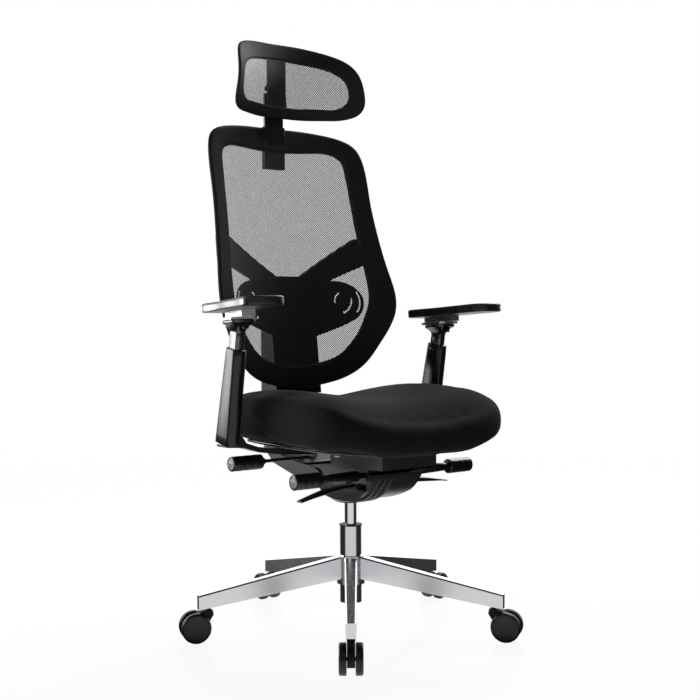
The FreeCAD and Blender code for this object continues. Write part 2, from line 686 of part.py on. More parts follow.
def back():
    """Back frame, stretched mesh, the forked support with its slide housing, and the lumbar pad on its runner."""
    outer = through(closed_curve(back_outer), 0, 500)
    inner = through(closed_curve(back_inner), 0, 500)
    frame = back_slab(-ring_lead, ring_depth + ring_lead).common(outer).cut(inner).cut(clip_block())
    mesh = back_slab(0, mesh_thick).common(inner)
    fork = mirrored_polygon([(36, 804), (187, 899), (220, 896), (224, 842), (194, 830), (118, 797), (70, 752),
                             (spine_half, spine_top - 30), (spine_half, spine_bottom + 40)], 5)
    rear_face = ring_depth + 0.05
    support = back_slab(rear_face, support_depth).common(through(fork, 0, 500))
    housing = box(-spine_half, spine_half, 150, spine_rear, spine_bottom, spine_top)
    housing = housing.makeFillet(8, [e for e in housing.Edges if abs(e.tangentAt(e.FirstParameter).z) > 0.9])
    housing = housing.cut(back_slab(rear_face - 160, 160))
    cavity = box(-tongue_half - tongue_gap, tongue_half + tongue_gap, tongue_front - tongue_gap,
                 tongue_rear + tongue_gap, spine_bottom - 1, tongue_top + 2)
    guide = box(-runner_half - tongue_gap, runner_half + tongue_gap, 0, 500,
                runner_low - lumbar_down - 1, runner_high + lumbar_up + 1)
    support = support.fuse(housing).cut(cavity).cut(guide)
    lumbar_points = [(0, 792), (100, 794), (160, 782), (184, 750), (174, 712), (152, 695), (90, 670), (30, 653),
                     (0, 650)]
    lumbar = back_slab(lumbar_set, lumbar_thick).common(through(closed_curve(lumbar_points), 0, 500))
    for side in (-1, 1):
        for cx, cz, radius, start, sweep in lumbar_slots:
            lumbar = lumbar.cut(arc_slot(side * cx, cz, radius, start if side > 0 else 180 - start - sweep, sweep))
    head_start = rear_face + support_depth + tongue_gap
    runner = back_slab(lumbar_set + lumbar_thick - 2, head_start + 3 - lumbar_set - lumbar_thick)
    runner = runner.common(box(-runner_half, runner_half, 0, 500, runner_low, runner_high))
    head = back_slab(head_start, 4).common(box(-15, 15, 0, 500, runner_low - 1, runner_high + 1))
    return {"back_frame": frame, "back_mesh": mesh, "back_support": support, "lumbar_pad": lumbar.fuse([runner, head])}


# Each vent slot in the lumbar pad: centre x and z, radius, start angle and sweep in degrees from +X.
lumbar_slots = [(140.0, 742.0, 26.0, 118.0, 66.0), (122.0, 748.0, 34.0, -72.0, 78.0), (132.0, 744.0, 44.0, -38.0, 70.0)]


def arc_slot(cx, cz, radius, start, sweep):
    """A curved cutter with flat ends, running through the back."""
    a0, a1 = math.radians(start), math.radians(start + sweep)
    am = (a0 + a1) / 2

    def at(r, a):
        return Vector(cx + r * math.cos(a), 100, cz + r * math.sin(a))

    inner, outer = radius - slot_width / 2, radius + slot_width / 2
    edges = [Part.Arc(at(inner, a0), at(inner, am), at(inner, a1)).toShape(),
             Part.LineSegment(at(inner, a1), at(outer, a1)).toShape(),
             Part.Arc(at(outer, a1), at(outer, am), at(outer, a0)).toShape(),
             Part.LineSegment(at(outer, a0), at(inner, a0)).toShape()]
    return Part.Face(Part.Wire(edges)).extrude(Vector(0, 250, 0))


head_outer = [(0, 1373), (56, 1371), (98, 1362), (132, 1348), (156, 1330), (170, 1306), (177, 1278), (182, 1245),
              (184, 1220), (178, 1202), (158, 1191), (120, 1188), (60, 1187), (0, 1188)]
head_inner = [(0, 1325), (45, 1322), (90, 1315), (124, 1302), (144, 1282), (152, 1254), (150, 1229), (137, 1217),
              (100, 1214), (50, 1213), (0, 1213)]


def head_slab(start, thickness):
    """A layer that follows the headrest's curve."""
    return curved_slab(head_face, (-215.0, 215.0), (1170.0, 1380.0), 12, (start, thickness), "y")


def clip_block():
    """The headrest clip's outer block."""
    block = box(-clip_half, clip_half, clip_front, clip_rear, clip_bottom, clip_top)
    return block.makeFillet(4, [e for e in block.Edges if abs(e.tangentAt(e.FirstParameter).z) > 0.9])


def headrest():
    """Stem clip in the back frame, sliding stem, headrest frame with its bar and hinge lugs, pin and mesh."""
    middle = (clip_front + clip_rear) / 2
    half = head_stem_thick / 2
    clip = clip_block().cut(box(-head_stem_half - tongue_gap, head_stem_half + tongue_gap, middle - half - tongue_gap,
                                middle + half + tongue_gap, clip_bottom - 1, clip_top + 1))
    stem = box(-head_stem_half, head_stem_half, middle - half, middle + half, head_stem_bottom, head_hinge_z - 12)
    stem = stem.makeFillet(2.5, [e for e in stem.Edges if abs(e.tangentAt(e.FirstParameter).z) > 0.9])
    knuckle_radius = 7.0
    lug = box(-9, 9, middle - half, middle + half, head_hinge_z - 14, head_hinge_z)
    knuckle = rod(knuckle_radius, (-9, middle, head_hinge_z), (9, middle, head_hinge_z))
    pin = rod(head_hinge_radius, (-22, middle, head_hinge_z), (22, middle, head_hinge_z))
    stem = stem.fuse([lug, knuckle]).cut(rod(head_hinge_radius + running_gap, (-30, middle, head_hinge_z),
                                             (30, middle, head_hinge_z)))
    outer = through(closed_curve(head_outer), 0, 500)
    inner = through(closed_curve(head_inner), 0, 500)
    frame = head_slab(-ring_lead, head_depth + ring_lead).common(outer).cut(inner)
    bar_rear = middle - half - 3.0
    bar = box(-head_bar_half, head_bar_half, bar_rear - 12, bar_rear, 1200, 1352)
    bar = bar.cut(head_slab(-60, 60 + head_depth - 0.5))
    feet = head_slab(head_depth - 1, 40).common(box(-head_bar_half, head_bar_half, 200, bar_rear, 1190, 1358))
    feet = feet.cut(box(-100, 100, 0, 500, 1212, 1327))
    relief = box(-100, 100, bar_rear - 6, bar_rear + 10, 1100, head_hinge_z - 14)
    lugs, knuckles = [], []
    for x0, x1 in ((-22, -9.4), (9.4, 22)):
        lugs.append(box(x0, x1, bar_rear - 1, middle, head_hinge_z - 6, head_hinge_z + 6))
        knuckles.append(rod(6.5, (x0, middle, head_hinge_z), (x1, middle, head_hinge_z)))
    frame = frame.fuse([bar, feet]).cut(relief).fuse(lugs + knuckles).cut(pin)
    mesh = head_slab(0, mesh_thick).common(inner)
    return {"headrest_clip": clip, "headrest_stem": stem, "headrest_frame": frame, "headrest_hinge_pin": pin,
            "headrest_mesh": mesh}


def leaned(shape):
    """A shape drawn upright on the arm post's foot, set to its place and lean."""
    placed = shape.copy()
    placed.rotate(Vector(0, 0, 0), Vector(1, 0, 0), arm_lean)
    placed.translate(Vector(arm_x, arm_foot_y, arm_foot_z))
    return placed


def block_section(width, depth, z, corner, shift=0.0):
    """A rounded rectangle across the arm post."""
    w, d = width / 2, depth / 2
    points = [(-w, shift - d, z), (w, shift - d, z), (w, shift + d, z), (-w, shift + d, z)]
    return rounded(points, corner).OuterWire


def on_pad(shape, toed=True):
    """A shape drawn flat about the pad's middle, with +Y to the rear, set to the pad's place and pitch."""
    placed = shape.copy()
    if toed:
        placed.rotate(Vector(0, hub_y, 0), Vector(0, 0, 1), pad_toe)
    placed.rotate(Vector(0, 0, 0), Vector(1, 0, 0), -pad_pitch)
    placed.translate(Vector(arm_x, pad_mid_y, pad_mid_z))
    return placed


def flat_block(half_x, y0, y1, z0, z1, corner):
    """An upright block with rounded corners, drawn about the pad's middle line."""
    plan = rounded([(-half_x, y0, z0), (half_x, y0, z0), (half_x, y1, z0), (-half_x, y1, z0)], corner)
    return plan.extrude(Vector(0, 0, z1 - z0))


def arm():
    """The sitter's left arm: bracket, sleeve, sliding stem with its neck, trigger, turntable, slider and pad."""
    foot_in, foot_out = arm_x - 14.0, arm_x + 14.0
    beam = polygon([(plate_half, 0, 397), (plate_half, 0, 409), (160, 0, 414), (arm_x - 71, 0, 422),
                    (arm_x - 36, 0, 434), (arm_x - 24, 0, 450), (foot_in, 0, 450), (foot_in, 0, arm_foot_z),
                    (foot_out, 0, arm_foot_z), (foot_out, 0, arm_foot_z - 5), (arm_x - 28, 0, 424),
                    (arm_x - 71, 0, 411), (160, 0, 403)])
    bracket = through(beam, arm_foot_y - 20, arm_foot_y + 22)
    sleeve = Part.makeLoft([block_section(32, 68, 0, 11, 3), block_section(33, 50, sleeve_length, 10, -1)], True, True)
    sleeve = leaned(sleeve).cut(box(0, 400, -100, 300, 300, arm_foot_z))
    bore = block_section(sleeve_bore_x + 2 * sleeve_gap, sleeve_bore_y + 2 * sleeve_gap, 20, 6)
    sleeve = sleeve.cut(leaned(Part.Face(bore).extrude(Vector(0, 0, sleeve_length))))
    bracket = bracket.cut(sleeve)
    stem = Part.Face(block_section(sleeve_bore_x, sleeve_bore_y, stem_reach, 6)).extrude(
        Vector(0, 0, stem_top - stem_reach))
    under = -(pad_thick / 2 + slider_thick + turn_thick + 2 * layer_gap)
    cap_low = under - 6
    cap = flat_block(neck_half_x, hub_y - neck_half_y, hub_y + neck_half_y, cap_low, under - layer_gap, 16)
    neck_high = rounded([(-neck_half_x, hub_y - neck_half_y, cap_low), (neck_half_x, hub_y - neck_half_y, cap_low),
                         (neck_half_x, hub_y + neck_half_y, cap_low), (-neck_half_x, hub_y + neck_half_y, cap_low)],
                        16)
    neck_low = leaned(block_section(sleeve_bore_x, sleeve_bore_y, stem_top - 8, 6))
    neck = Part.makeLoft([neck_low, on_pad(neck_high, False).OuterWire], True, False)
    stem = leaned(stem).fuse([neck, on_pad(cap, False)]).removeSplitter()
    trigger_y = hub_y - neck_half_y + 3
    pocket = box(-6.4, 6.4, trigger_y - 0.4, trigger_y + 10.4, under - 40, under - 3)
    trigger = box(-6, 6, trigger_y, trigger_y + 10, under - 20, under - 6.4)
    stem = stem.cut(on_pad(pocket, False))
    pivot = rod(8.0, (0, hub_y, under - 3.5), (0, hub_y, under + 1))
    stem = stem.cut(on_pad(rod(8.0 + running_gap, (0, hub_y, under - 4), (0, hub_y, under + 1))))
    turntable = flat_block(turn_half, hub_y - 38, hub_y + 38, under, under + turn_thick, 14).fuse(pivot)
    turntable = turntable.removeSplitter()
    slider_low = under + turn_thick + layer_gap
    slider = box(-16, 16, hub_y - 48, hub_y + 34, slider_low, slider_low + slider_thick - layer_gap)
    pad_points = [(pad_shift_x - 45, 120, 0), (pad_shift_x + 45, 120, 0), (pad_shift_x + 46, -102, 0),
                  (pad_shift_x + 26, -120, 0), (pad_shift_x - 26, -120, 0), (pad_shift_x - 46, -102, 0)]
    pad = rounded(pad_points, 16).extrude(Vector(0, 0, pad_thick))
    pad.translate(Vector(0, 0, -pad_thick / 2))
    moving = {"arm_stem": stem, "arm_trigger": on_pad(trigger, False), "arm_turntable": on_pad(turntable),
              "arm_slider": on_pad(slider), "arm_pad": on_pad(pad)}
    return {"arm_bracket": bracket, "arm_sleeve": sleeve}, moving


def raised(shape, distance):
    """A shape moved along the arm post."""
    lean = math.radians(arm_lean)
    return shape.translated(Vector(0, -math.sin(lean), math.cos(lean)) * distance)


def export(name, shape):
    """Writes one sub-part, after a check that each of its solids is closed and valid."""
    solids = shape.Solids
    if not solids or not shape.isValid() or any(s.Volume <= 0 for s in solids):
        print("NOT VALID", name, shape.isValid(), [round(s.Volume, 1) for s in solids])
    whole = solids[0] if len(solids) == 1 else Part.makeCompound(solids)
    whole.exportStep(f"parts/{name}.step")


def main():
    nodes = {"base_star": base_star()}
    for k in range(leg_count):
        nodes.update(caster(k))
    nodes.update(column())
    nodes.update({"mechanism_tray": tray(), "mechanism_cowl": cowl(), "mechanism_pivot_shafts": pivot_shafts(),
                  "mechanism_springs": tilt_springs(), "seat_plate": seat_plate(), "depth_lever": depth_lever(),
                  "back_bracket": back_bracket()})
    for name, side in (("right", -1), ("left", 1)):
        nodes[f"grip_{name}"] = grip(side)
        blade, pin = paddle(side)
        nodes[f"paddle_{name}"] = blade
        nodes.setdefault("paddle_pins", []).append(pin)
    nodes["paddle_pins"] = Part.makeCompound(nodes["paddle_pins"])
    nodes["mechanism_tray"] = nodes["mechanism_tray"].cut(nodes["paddle_pins"])
    nodes.update(seat())
    nodes.update(back())
    nodes.update(headrest())
    fixed, moving = arm()
    for name, shape in fixed.items():
        nodes[f"{name}_left"] = shape
        nodes[f"{name}_right"] = mirrored(shape)
    for name, shape in moving.items():
        nodes[f"{name}_left"] = raised(shape, -arm_notch)
        nodes[f"{name}_right"] = mirrored(raised(shape, arm_notch))
    for name, shape in nodes.items():
        export(name, shape)
    print(len(nodes), "nodes")


main()
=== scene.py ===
import math

import bmesh
import bpy
import numpy as np
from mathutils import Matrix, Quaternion, Vector


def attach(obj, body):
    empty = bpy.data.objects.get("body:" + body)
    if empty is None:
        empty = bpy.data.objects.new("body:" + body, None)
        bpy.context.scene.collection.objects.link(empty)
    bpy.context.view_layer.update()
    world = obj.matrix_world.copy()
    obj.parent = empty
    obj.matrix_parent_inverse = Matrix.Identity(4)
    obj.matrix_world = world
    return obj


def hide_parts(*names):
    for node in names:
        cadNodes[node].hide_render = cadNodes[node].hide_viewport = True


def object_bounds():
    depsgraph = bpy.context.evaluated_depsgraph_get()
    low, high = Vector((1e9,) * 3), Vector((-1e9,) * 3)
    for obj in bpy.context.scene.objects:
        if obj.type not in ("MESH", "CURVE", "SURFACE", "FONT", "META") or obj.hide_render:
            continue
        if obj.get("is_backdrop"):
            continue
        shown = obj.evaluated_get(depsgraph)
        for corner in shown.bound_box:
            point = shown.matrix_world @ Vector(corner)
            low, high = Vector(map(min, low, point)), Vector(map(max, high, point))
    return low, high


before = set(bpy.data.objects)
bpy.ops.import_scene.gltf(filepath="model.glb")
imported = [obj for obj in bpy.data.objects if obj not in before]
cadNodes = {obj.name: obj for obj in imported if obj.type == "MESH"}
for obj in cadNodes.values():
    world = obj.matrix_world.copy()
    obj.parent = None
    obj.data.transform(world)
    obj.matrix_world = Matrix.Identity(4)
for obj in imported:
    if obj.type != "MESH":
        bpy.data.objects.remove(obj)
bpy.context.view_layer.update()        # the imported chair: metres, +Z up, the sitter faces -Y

sides = {"left": 1, "right": -1}        # the sitter's left is +X
print("frame loaded:", len(cadNodes), "nodes")


# Surfaces: each is a grid of points and the quads between them.

def gridQuads(rows, columns, wrapRows=False):
    # corner numbers of every quad; columns always close on themselves, rows only where asked
    row, column = np.meshgrid(np.arange(rows if wrapRows else rows - 1), np.arange(columns), indexing="ij")
    nextRow, nextColumn = (row + 1) % rows, (column + 1) % columns
    quads = [row * columns + column, row * columns + nextColumn,
             nextRow * columns + nextColumn, nextRow * columns + column]
    return np.stack(quads, -1).reshape(-1, 4)


def surface(points, wrapRows=False):
    # points: rows x columns x 3
    return points.reshape(-1, 3), gridQuads(points.shape[0], points.shape[1], wrapRows)


def makePiece(name, surfaces, crease=38):
    # joins surfaces into one mesh, merges its seams and poles and turns its faces outwards
    points, quads, start = [], [], 0
    for own, corners in surfaces:
        points.append(own)
        quads.append(corners + start)
        start += len(own)
    mesh = bpy.data.meshes.new(name)
    mesh.from_pydata(np.concatenate(points).tolist(), [], np.concatenate(quads).tolist())
    work = bmesh.new()
    work.from_mesh(mesh)
    bmesh.ops.remove_doubles(work, verts=work.verts, dist=2e-6)
    bmesh.ops.recalc_face_normals(work, faces=work.faces)
    work.to_mesh(mesh)
    work.free()
    mesh.shade_smooth()
    mesh.set_sharp_from_angle(angle=math.radians(crease))
    piece = bpy.data.objects.new(name, mesh)
    bpy.context.scene.collection.objects.link(piece)
    return piece


def fit(piece, material, body, slotName, *standsFor):
    # gives a piece its finish and its body, and hides the CAD nodes that it stands for
    piece.data.materials.append(material)
    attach(piece, body)
    if standsFor:
        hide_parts(*standsFor)
    return piece


def splinePoints(corners, chord, bend, count, closed):
    # between two corners: the straight line, plus a cubic from the bend at each end
    knots = np.concatenate([[0], np.cumsum(chord)])
    place = np.linspace(0, knots[-1], count, endpoint=not closed)
    span = np.clip(np.searchsorted(knots, place, side="right") - 1, 0, len(chord) - 1)
    following = (span + 1) % len(corners)
    step, size = (place - knots[span])[:, None], chord[span][:, None]
    rest = size - step
    line = (corners[span] * rest + corners[following] * step) / size
    return line + ((rest**3 / size - size * rest) * bend[span]
                   + (step**3 / size - size * step) * bend[following]) / 6


def closedSpline(corners, count):
    # a smooth loop: a periodic cubic through the corners, run by chord length, its bends shared at each one
    corners = np.asarray(corners, float)
    total = len(corners)
    chord = np.linalg.norm(np.roll(corners, -1, 0) - corners, axis=1)
    before = np.roll(chord, 1)
    index = np.arange(total)
    system = np.diag(2 * (before + chord))
    system[index, (index + 1) % total] += chord
    system[index, (index - 1) % total] += before
    slope = (np.roll(corners, -1, 0) - corners) / chord[:, None]
    bend = np.linalg.solve(system, 6 * (slope - np.roll(slope, 1, 0)))
    return splinePoints(corners, chord, bend, count, True)


def openSpline(corners, count):
    # the same cubic along an open line: there is no bend at its first and last corner
    corners = np.asarray(corners, float)
    total = len(corners)
    chord = np.linalg.norm(np.diff(corners, axis=0), axis=1)
    slope = np.diff(corners, axis=0) / chord[:, None]
    system = np.eye(total)
    inner = np.arange(1, total - 1)
    system[inner, inner] = 2 * (chord[:-1] + chord[1:])
    system[inner, inner - 1] = chord[:-1]
    system[inner, inner + 1] = chord[1:]
    load = np.zeros_like(corners)
    load[1:-1] = 6 * np.diff(slope, axis=0)
    return splinePoints(corners, chord, np.linalg.solve(system, load), count, False)


def bothHalves(half):
    # a whole outline from its right half, top to bottom
    return list(half) + [(-x, z) for x, z in half[-2:0:-1]]


def bandSurface(outer, inner, face, lead, depth, edge, steps=12):
    # a closed band between two loops: its section is two flat faces joined by half ellipses at both edges
    width = np.linalg.norm(outer - inner, axis=1)[:, None]
    across = (outer - inner) / width
    angle = np.linspace(-0.5 * math.pi, 0.5 * math.pi, steps)
    angle = np.concatenate([angle, angle + math.pi])[None, :]
    along = np.where(np.cos(angle) > -1e-9, width - edge, edge) + edge * np.cos(angle)
    along[:, steps:] = edge + edge * np.cos(angle[:, steps:])
    flat = inner[:, None, :] + across[:, None, :] * along[:, :, None]
    y = face(flat[..., 0], flat[..., 1]) - lead + 0.5 * depth * (1 + np.sin(angle))
    return surface(np.stack([flat[..., 0], y, flat[..., 1]], -1), wrapRows=True)


def turnedSurface(profile, start, axis, count=48):
    # a profile of (distance along the axis, radius) turned about an axis
    profile = np.asarray(profile, float)
    axis = np.asarray(axis, float) / np.linalg.norm(axis)
    first = np.cross(axis, [0, 0, 1.0] if abs(axis[2]) < 0.9 else [1.0, 0, 0])
    first /= np.linalg.norm(first)
    second = np.cross(axis, first)
    angle = np.linspace(0, 2 * math.pi, count, endpoint=False)[None, :, None]
    spoke = np.cos(angle) * first + np.sin(angle) * second
    points = np.asarray(start, float) + profile[:, :1, None] * axis + profile[:, 1:, None] * spoke
    return surface(points)


def boxLoops(halfX, halfY, corner, steps=7):
    # rounded rectangles, one for each entry of the arrays: four quarter circles joined by straight sides
    quarter = np.linspace(0, 0.5 * math.pi, steps)
    angle = np.concatenate([quarter + 0.5 * math.pi * k for k in range(4)])[None, :]
    signX = np.repeat([1, -1, -1, 1], steps)[None, :]
    signY = np.repeat([1, 1, -1, -1], steps)[None, :]
    halfX, halfY, corner = (np.asarray(v, float)[:, None] for v in (halfX, halfY, corner))
    x = signX * (halfX - corner) + corner * np.cos(angle)
    return x, signY * (halfY - corner) + corner * np.sin(angle)


def postSurface(z, halfX, halfY, corner, shiftX=0.0, shiftY=0.0, edge=0.002):
    # an upright post through rounded rectangles, its two ends rounded over by the edge radius and closed
    z, halfX, halfY, corner, shiftX, shiftY = np.broadcast_arrays(z, halfX, halfY, corner, shiftX, shiftY)
    turn = np.linspace(0, 0.5 * math.pi, 5)[:-1]
    endRows, between = 1 + len(turn), np.zeros(len(z) - 2)
    rows = np.concatenate([[0] * endRows, np.arange(1, len(z) - 1), [len(z) - 1] * endRows])
    inset, rise = edge * (1 - np.sin(turn)), edge * (1 - np.cos(turn))
    small = np.concatenate([[0], inset, between, inset[::-1], [0]])
    height = z[rows] + np.concatenate([[0], rise, between, -rise[::-1], [0]])
    wideX, wideY, rounding = halfX[rows] - small, halfY[rows] - small, np.maximum(corner[rows] - small, 5e-4)
    for size, closed in ((wideX, 1e-9), (wideY, 1e-9), (rounding, 5e-10)):
        size[[0, -1]] = closed
    x, y = boxLoops(wideX, wideY, rounding)
    level = np.repeat(height[:, None], x.shape[1], 1)
    return np.stack([x + shiftX[rows][:, None], y + shiftY[rows][:, None], level], -1)


def discSurface(loop, profile):
    # a flat outline filled in: each row of the profile is (share of the way out, inset at the edge, height)
    profile = np.asarray(profile, float)
    out = np.linalg.norm(loop, axis=1)[None, :]
    scale = profile[:, :1] * (1 - profile[:, 1:2] / out)
    points = np.empty(scale.shape + (3,))
    points[..., :2] = loop[None] * scale[..., None]
    points[..., 2] = profile[:, 2:]
    return points


def turnedBy(points, angle, axis, centre=(0, 0, 0)):
    # points turned about an axis through a centre
    spin = np.array(Quaternion(axis, angle).to_matrix())
    return (points - np.asarray(centre)) @ spin.T + np.asarray(centre)


# Materials.

class Value:
    # one socket of a material; arithmetic on it adds Math nodes
    def __init__(self, finish, socket):
        self.finish, self.socket = finish, socket

    def pair(self, operation, first, second):
        return self.finish.node("ShaderNodeMath", {"operation": operation}, {0: first, 1: second})

    def cosine(self):
        return self.pair("COSINE", self, 0.0)

    def size(self):
        return self.pair("ABSOLUTE", self, 0.0)

    def __gt__(self, other):
        return self.pair("GREATER_THAN", self, other)

    def clamped(self):
        return self.finish.node("ShaderNodeClamp", {}, {"Value": self, "Min": 0.0, "Max": 1.0})


for word, operation in (("add", "ADD"), ("sub", "SUBTRACT"), ("mul", "MULTIPLY"), ("truediv", "DIVIDE")):
    setattr(Value, f"__{word}__", lambda self, other, kind=operation: self.pair(kind, self, other))
    setattr(Value, f"__r{word}__", lambda self, other, kind=operation: self.pair(kind, other, self))


class Finish:
    # a material: uniform sockets are set on the shader itself, and feed() links what varies
    def __init__(self, name, uniform):
        self.material = bpy.data.materials.new(name)
        self.material.use_nodes = True
        self.nodes = self.material.node_tree.nodes
        self.links = self.material.node_tree.links
        self.shader = self.nodes["Principled BSDF"]
        for socket, value in uniform.items():
            self.shader.inputs[socket].default_value = value

    def node(self, kind, settings, inputs, output=0):
        made = self.nodes.new(kind)
        for key, value in settings.items():
            if key == "stops":
                while len(made.color_ramp.elements) < len(value):
                    made.color_ramp.elements.new(0.5)
                for element, (position, colour) in zip(made.color_ramp.elements, value):
                    element.position, element.color = position, colour
            else:
                setattr(made, key, value)
        for key, value in inputs.items():
            if isinstance(value, Value):
                self.links.new(value.socket, made.inputs[key])
            else:
                made.inputs[key].default_value = value
        return Value(self, made.outputs[output])

    def feed(self, socket, value):
        self.links.new(value.socket, self.shader.inputs[socket])

    def place(self, stretch=(1, 1, 1)):
        # the piece's own metres, stretched where a pattern runs one way
        where = self.node("ShaderNodeTexCoord", {}, {}, "Object")
        return self.node("ShaderNodeVectorMath", {"operation": "MULTIPLY"}, {0: where, 1: stretch})

    def noise(self, where, scale, detail=3.0, rough=0.5):
        return self.node("ShaderNodeTexNoise", {},
                         {"Vector": where, "Scale": scale, "Detail": detail, "Roughness": rough})

    def parts(self, where, axes):
        # the numbers of a vector, one for each letter of axes
        return [self.node("ShaderNodeSeparateXYZ", {}, {0: where}, axis) for axis in axes]

    def tint(self, factor, low, high):
        return self.node("ShaderNodeMix", {"data_type": "RGBA"}, {0: factor, 6: (*low, 1), 7: (*high, 1)}, 2)

    def bump(self, height, strength, distance):
        settings = {"Strength": strength, "Distance": distance, "Height": height}
        self.feed("Normal", self.node("ShaderNodeBump", {}, settings))


def metal(name, low, high, roughness, spread, lines=(1, 1, 1), fine=900.0, relief=0.05):
    # metal whose polish drifts in broad patches, with fine tool lines along one direction
    finish = Finish(name, {"Metallic": 1.0})
    patches = finish.noise(finish.place(), 14.0)
    scratches = finish.noise(finish.place(lines), fine, 2.0)
    finish.feed("Base Color", finish.tint(patches * 0.6 + scratches * 0.4, low, high))
    finish.feed("Roughness", roughness + spread * (patches * 0.7 + scratches * 0.6 - 0.5))
    finish.bump(scratches, relief, 0.0002)
    return finish.material


def plastic(name, low, high, roughness, spread, grain=1800.0, relief=0.12, shine=0.5, worn=0.02):
    # moulded plastic: a fine spark-eroded grain, tone that drifts a little, and a few rubbed, shinier patches
    finish = Finish(name, {"Specular IOR Level": shine, "IOR": 1.5})
    drift = finish.noise(finish.place(), 9.0)
    pits = finish.noise(finish.place(), grain, 2.0)
    rubbed = (finish.noise(finish.place(), 31.0, 4.0) > 0.62) * worn
    finish.feed("Base Color", finish.tint(drift * 0.7 + pits * 0.3, low, high))
    finish.feed("Roughness", roughness + spread * (drift - 0.5) + spread * 0.5 * (pits - 0.5) - rubbed)
    finish.bump(pits, relief, 0.00025)
    return finish.material


def railFinish(name, look):
    # the pads' rails: bright metal along the outer side, dark moulded plastic round the ends and inside
    finish = Finish(name, {})
    sideways, along = finish.parts(finish.place(), "XY")
    outer = ((sideways.size() + along * look["toe"] - look["from"]) / look["fade"]).clamped()
    outer = outer * ((along - look["front"]) / look["fade"]).clamped()
    patches = finish.noise(finish.place(), 20.0)
    scratches = finish.noise(finish.place((1, 0.1, 1)), 1100.0, 2.0)
    tone = outer * (0.9 + 0.2 * (patches - 0.5))
    finish.feed("Base Color", finish.tint(tone, look["dark"], look["bright"]))
    finish.feed("Metallic", outer)
    finish.feed("Roughness", 0.30 + 0.10 * outer + 0.12 * (scratches - 0.5))
    finish.bump(scratches, 0.04, 0.0002)
    return finish.material


def softSkin(name, low, high, roughness):
    # integral-skin foam: shallow pebbled grain
    finish = Finish(name, {"Specular IOR Level": 0.5, "Sheen Weight": 0.04})
    cells = finish.node("ShaderNodeTexVoronoi", {"feature": "SMOOTH_F1"},
                        {"Vector": finish.place(), "Scale": 620.0})
    drift = finish.noise(finish.place(), 25.0)
    finish.feed("Base Color", finish.tint(drift, low, high))
    finish.feed("Roughness", roughness + 0.10 * (cells - 0.4) + 0.08 * (drift - 0.5))
    finish.bump(cells, 0.25, 0.0003)
    return finish.material


def wovenFabric(name, look):
    # plain weave: threads over and under in two directions, drifting tone and a little lint
    finish = Finish(name, {"Sheen Weight": look["sheen"], "Sheen Roughness": 0.45, "Specular IOR Level": 0.1})
    where = finish.place()
    sideways, along, up = finish.parts(where, "XYZ")
    turn = math.pi / look["thread"]
    warp = ((sideways + up) * turn).cosine()
    weft = ((along + up * 0.7) * turn).cosine()
    weave = (warp * weft) * 0.5 + 0.5
    drift = finish.noise(where, 18.0, 4.0)
    lint = finish.noise(where, 700.0, 2.0, 0.7)
    tone = weave * 0.45 + drift * 0.3 + lint * 0.35
    finish.feed("Base Color", finish.tint(tone.clamped(), look["dark"], look["light"]))
    finish.feed("Roughness", 0.86 + 0.12 * (lint - 0.5))
    finish.bump(weave * 0.7 + lint * 0.6, look["relief"], 0.0005)
    return finish.material


def openKnit(name, look):
    # warp knit with staggered holes: the product of two cosines along the sheet is high at each hole's middle
    finish = Finish(name, {"Sheen Weight": 0.1, "Specular IOR Level": 0.3})
    sheet = finish.node("ShaderNodeUVMap", {"uv_map": "sheet"}, {})
    across, along = finish.parts(sheet, "XY")
    lattice = (across * (math.pi / look["pitch"])).cosine() * (along * (math.pi / look["row"])).cosine()
    drift = finish.noise(finish.place(), 30.0)
    hole = ((lattice - (look["strand"] + 0.06 * (drift - 0.5))) / 0.08).clamped()
    finish.feed("Alpha", 1.0 - hole)
    yarn = finish.noise(finish.place((1, 1, 0.35)), 2400.0, 2.0)
    finish.feed("Base Color", finish.tint((yarn * 0.6 + drift * 0.4), look["dark"], look["light"]))
    finish.feed("Roughness", 0.6 + 0.2 * (yarn - 0.5))
    finish.bump(yarn * 0.3 - lattice, 0.35, 0.0006)
    return finish.material


polishedAluminium = metal("polishedAluminium", (0.77, 0.775, 0.795), (0.88, 0.885, 0.90), roughness=0.24,
                          spread=0.10, lines=(1, 1, 0.3))
brightChrome = metal("brightChrome", (0.74, 0.75, 0.78), (0.84, 0.85, 0.88), roughness=0.08, spread=0.05,
                     lines=(1, 1, 0.02), fine=1500.0, relief=0.03)
brushedSteel = metal("brushedSteel", (0.40, 0.40, 0.41), (0.56, 0.56, 0.57), roughness=0.30, spread=0.14,
                     lines=(1, 1, 0.05), fine=1200.0, relief=0.1)
blackChrome = metal("blackChrome", (0.64, 0.645, 0.66), (0.74, 0.745, 0.76), roughness=0.06, spread=0.05,
                    lines=(1, 1, 0.02), fine=1500.0, relief=0.03)
neckMetal = metal("neckMetal", (0.10, 0.10, 0.105), (0.15, 0.15, 0.155), roughness=0.24, spread=0.08,
                  lines=(1, 1, 0.1), relief=0.04)
capMetal = metal("capMetal", (0.26, 0.26, 0.265), (0.38, 0.38, 0.39), roughness=0.28, spread=0.10)
powderCoat = plastic("powderCoat", (0.010, 0.010, 0.011), (0.022, 0.022, 0.024), roughness=0.42, spread=0.12,
                     grain=750.0, relief=0.22)
grainedPlastic = plastic("grainedPlastic", (0.006, 0.006, 0.007), (0.013, 0.013, 0.014), roughness=0.46,
                         spread=0.10, shine=0.2)
matteFrame = plastic("matteFrame", (0.017, 0.016, 0.019), (0.028, 0.027, 0.030), roughness=0.62, spread=0.12,
                     shine=0.06)
sheenPlastic = plastic("sheenPlastic", (0.004, 0.004, 0.005), (0.009, 0.009, 0.010), roughness=0.26,
                       spread=0.06, grain=1500.0, relief=0.05)
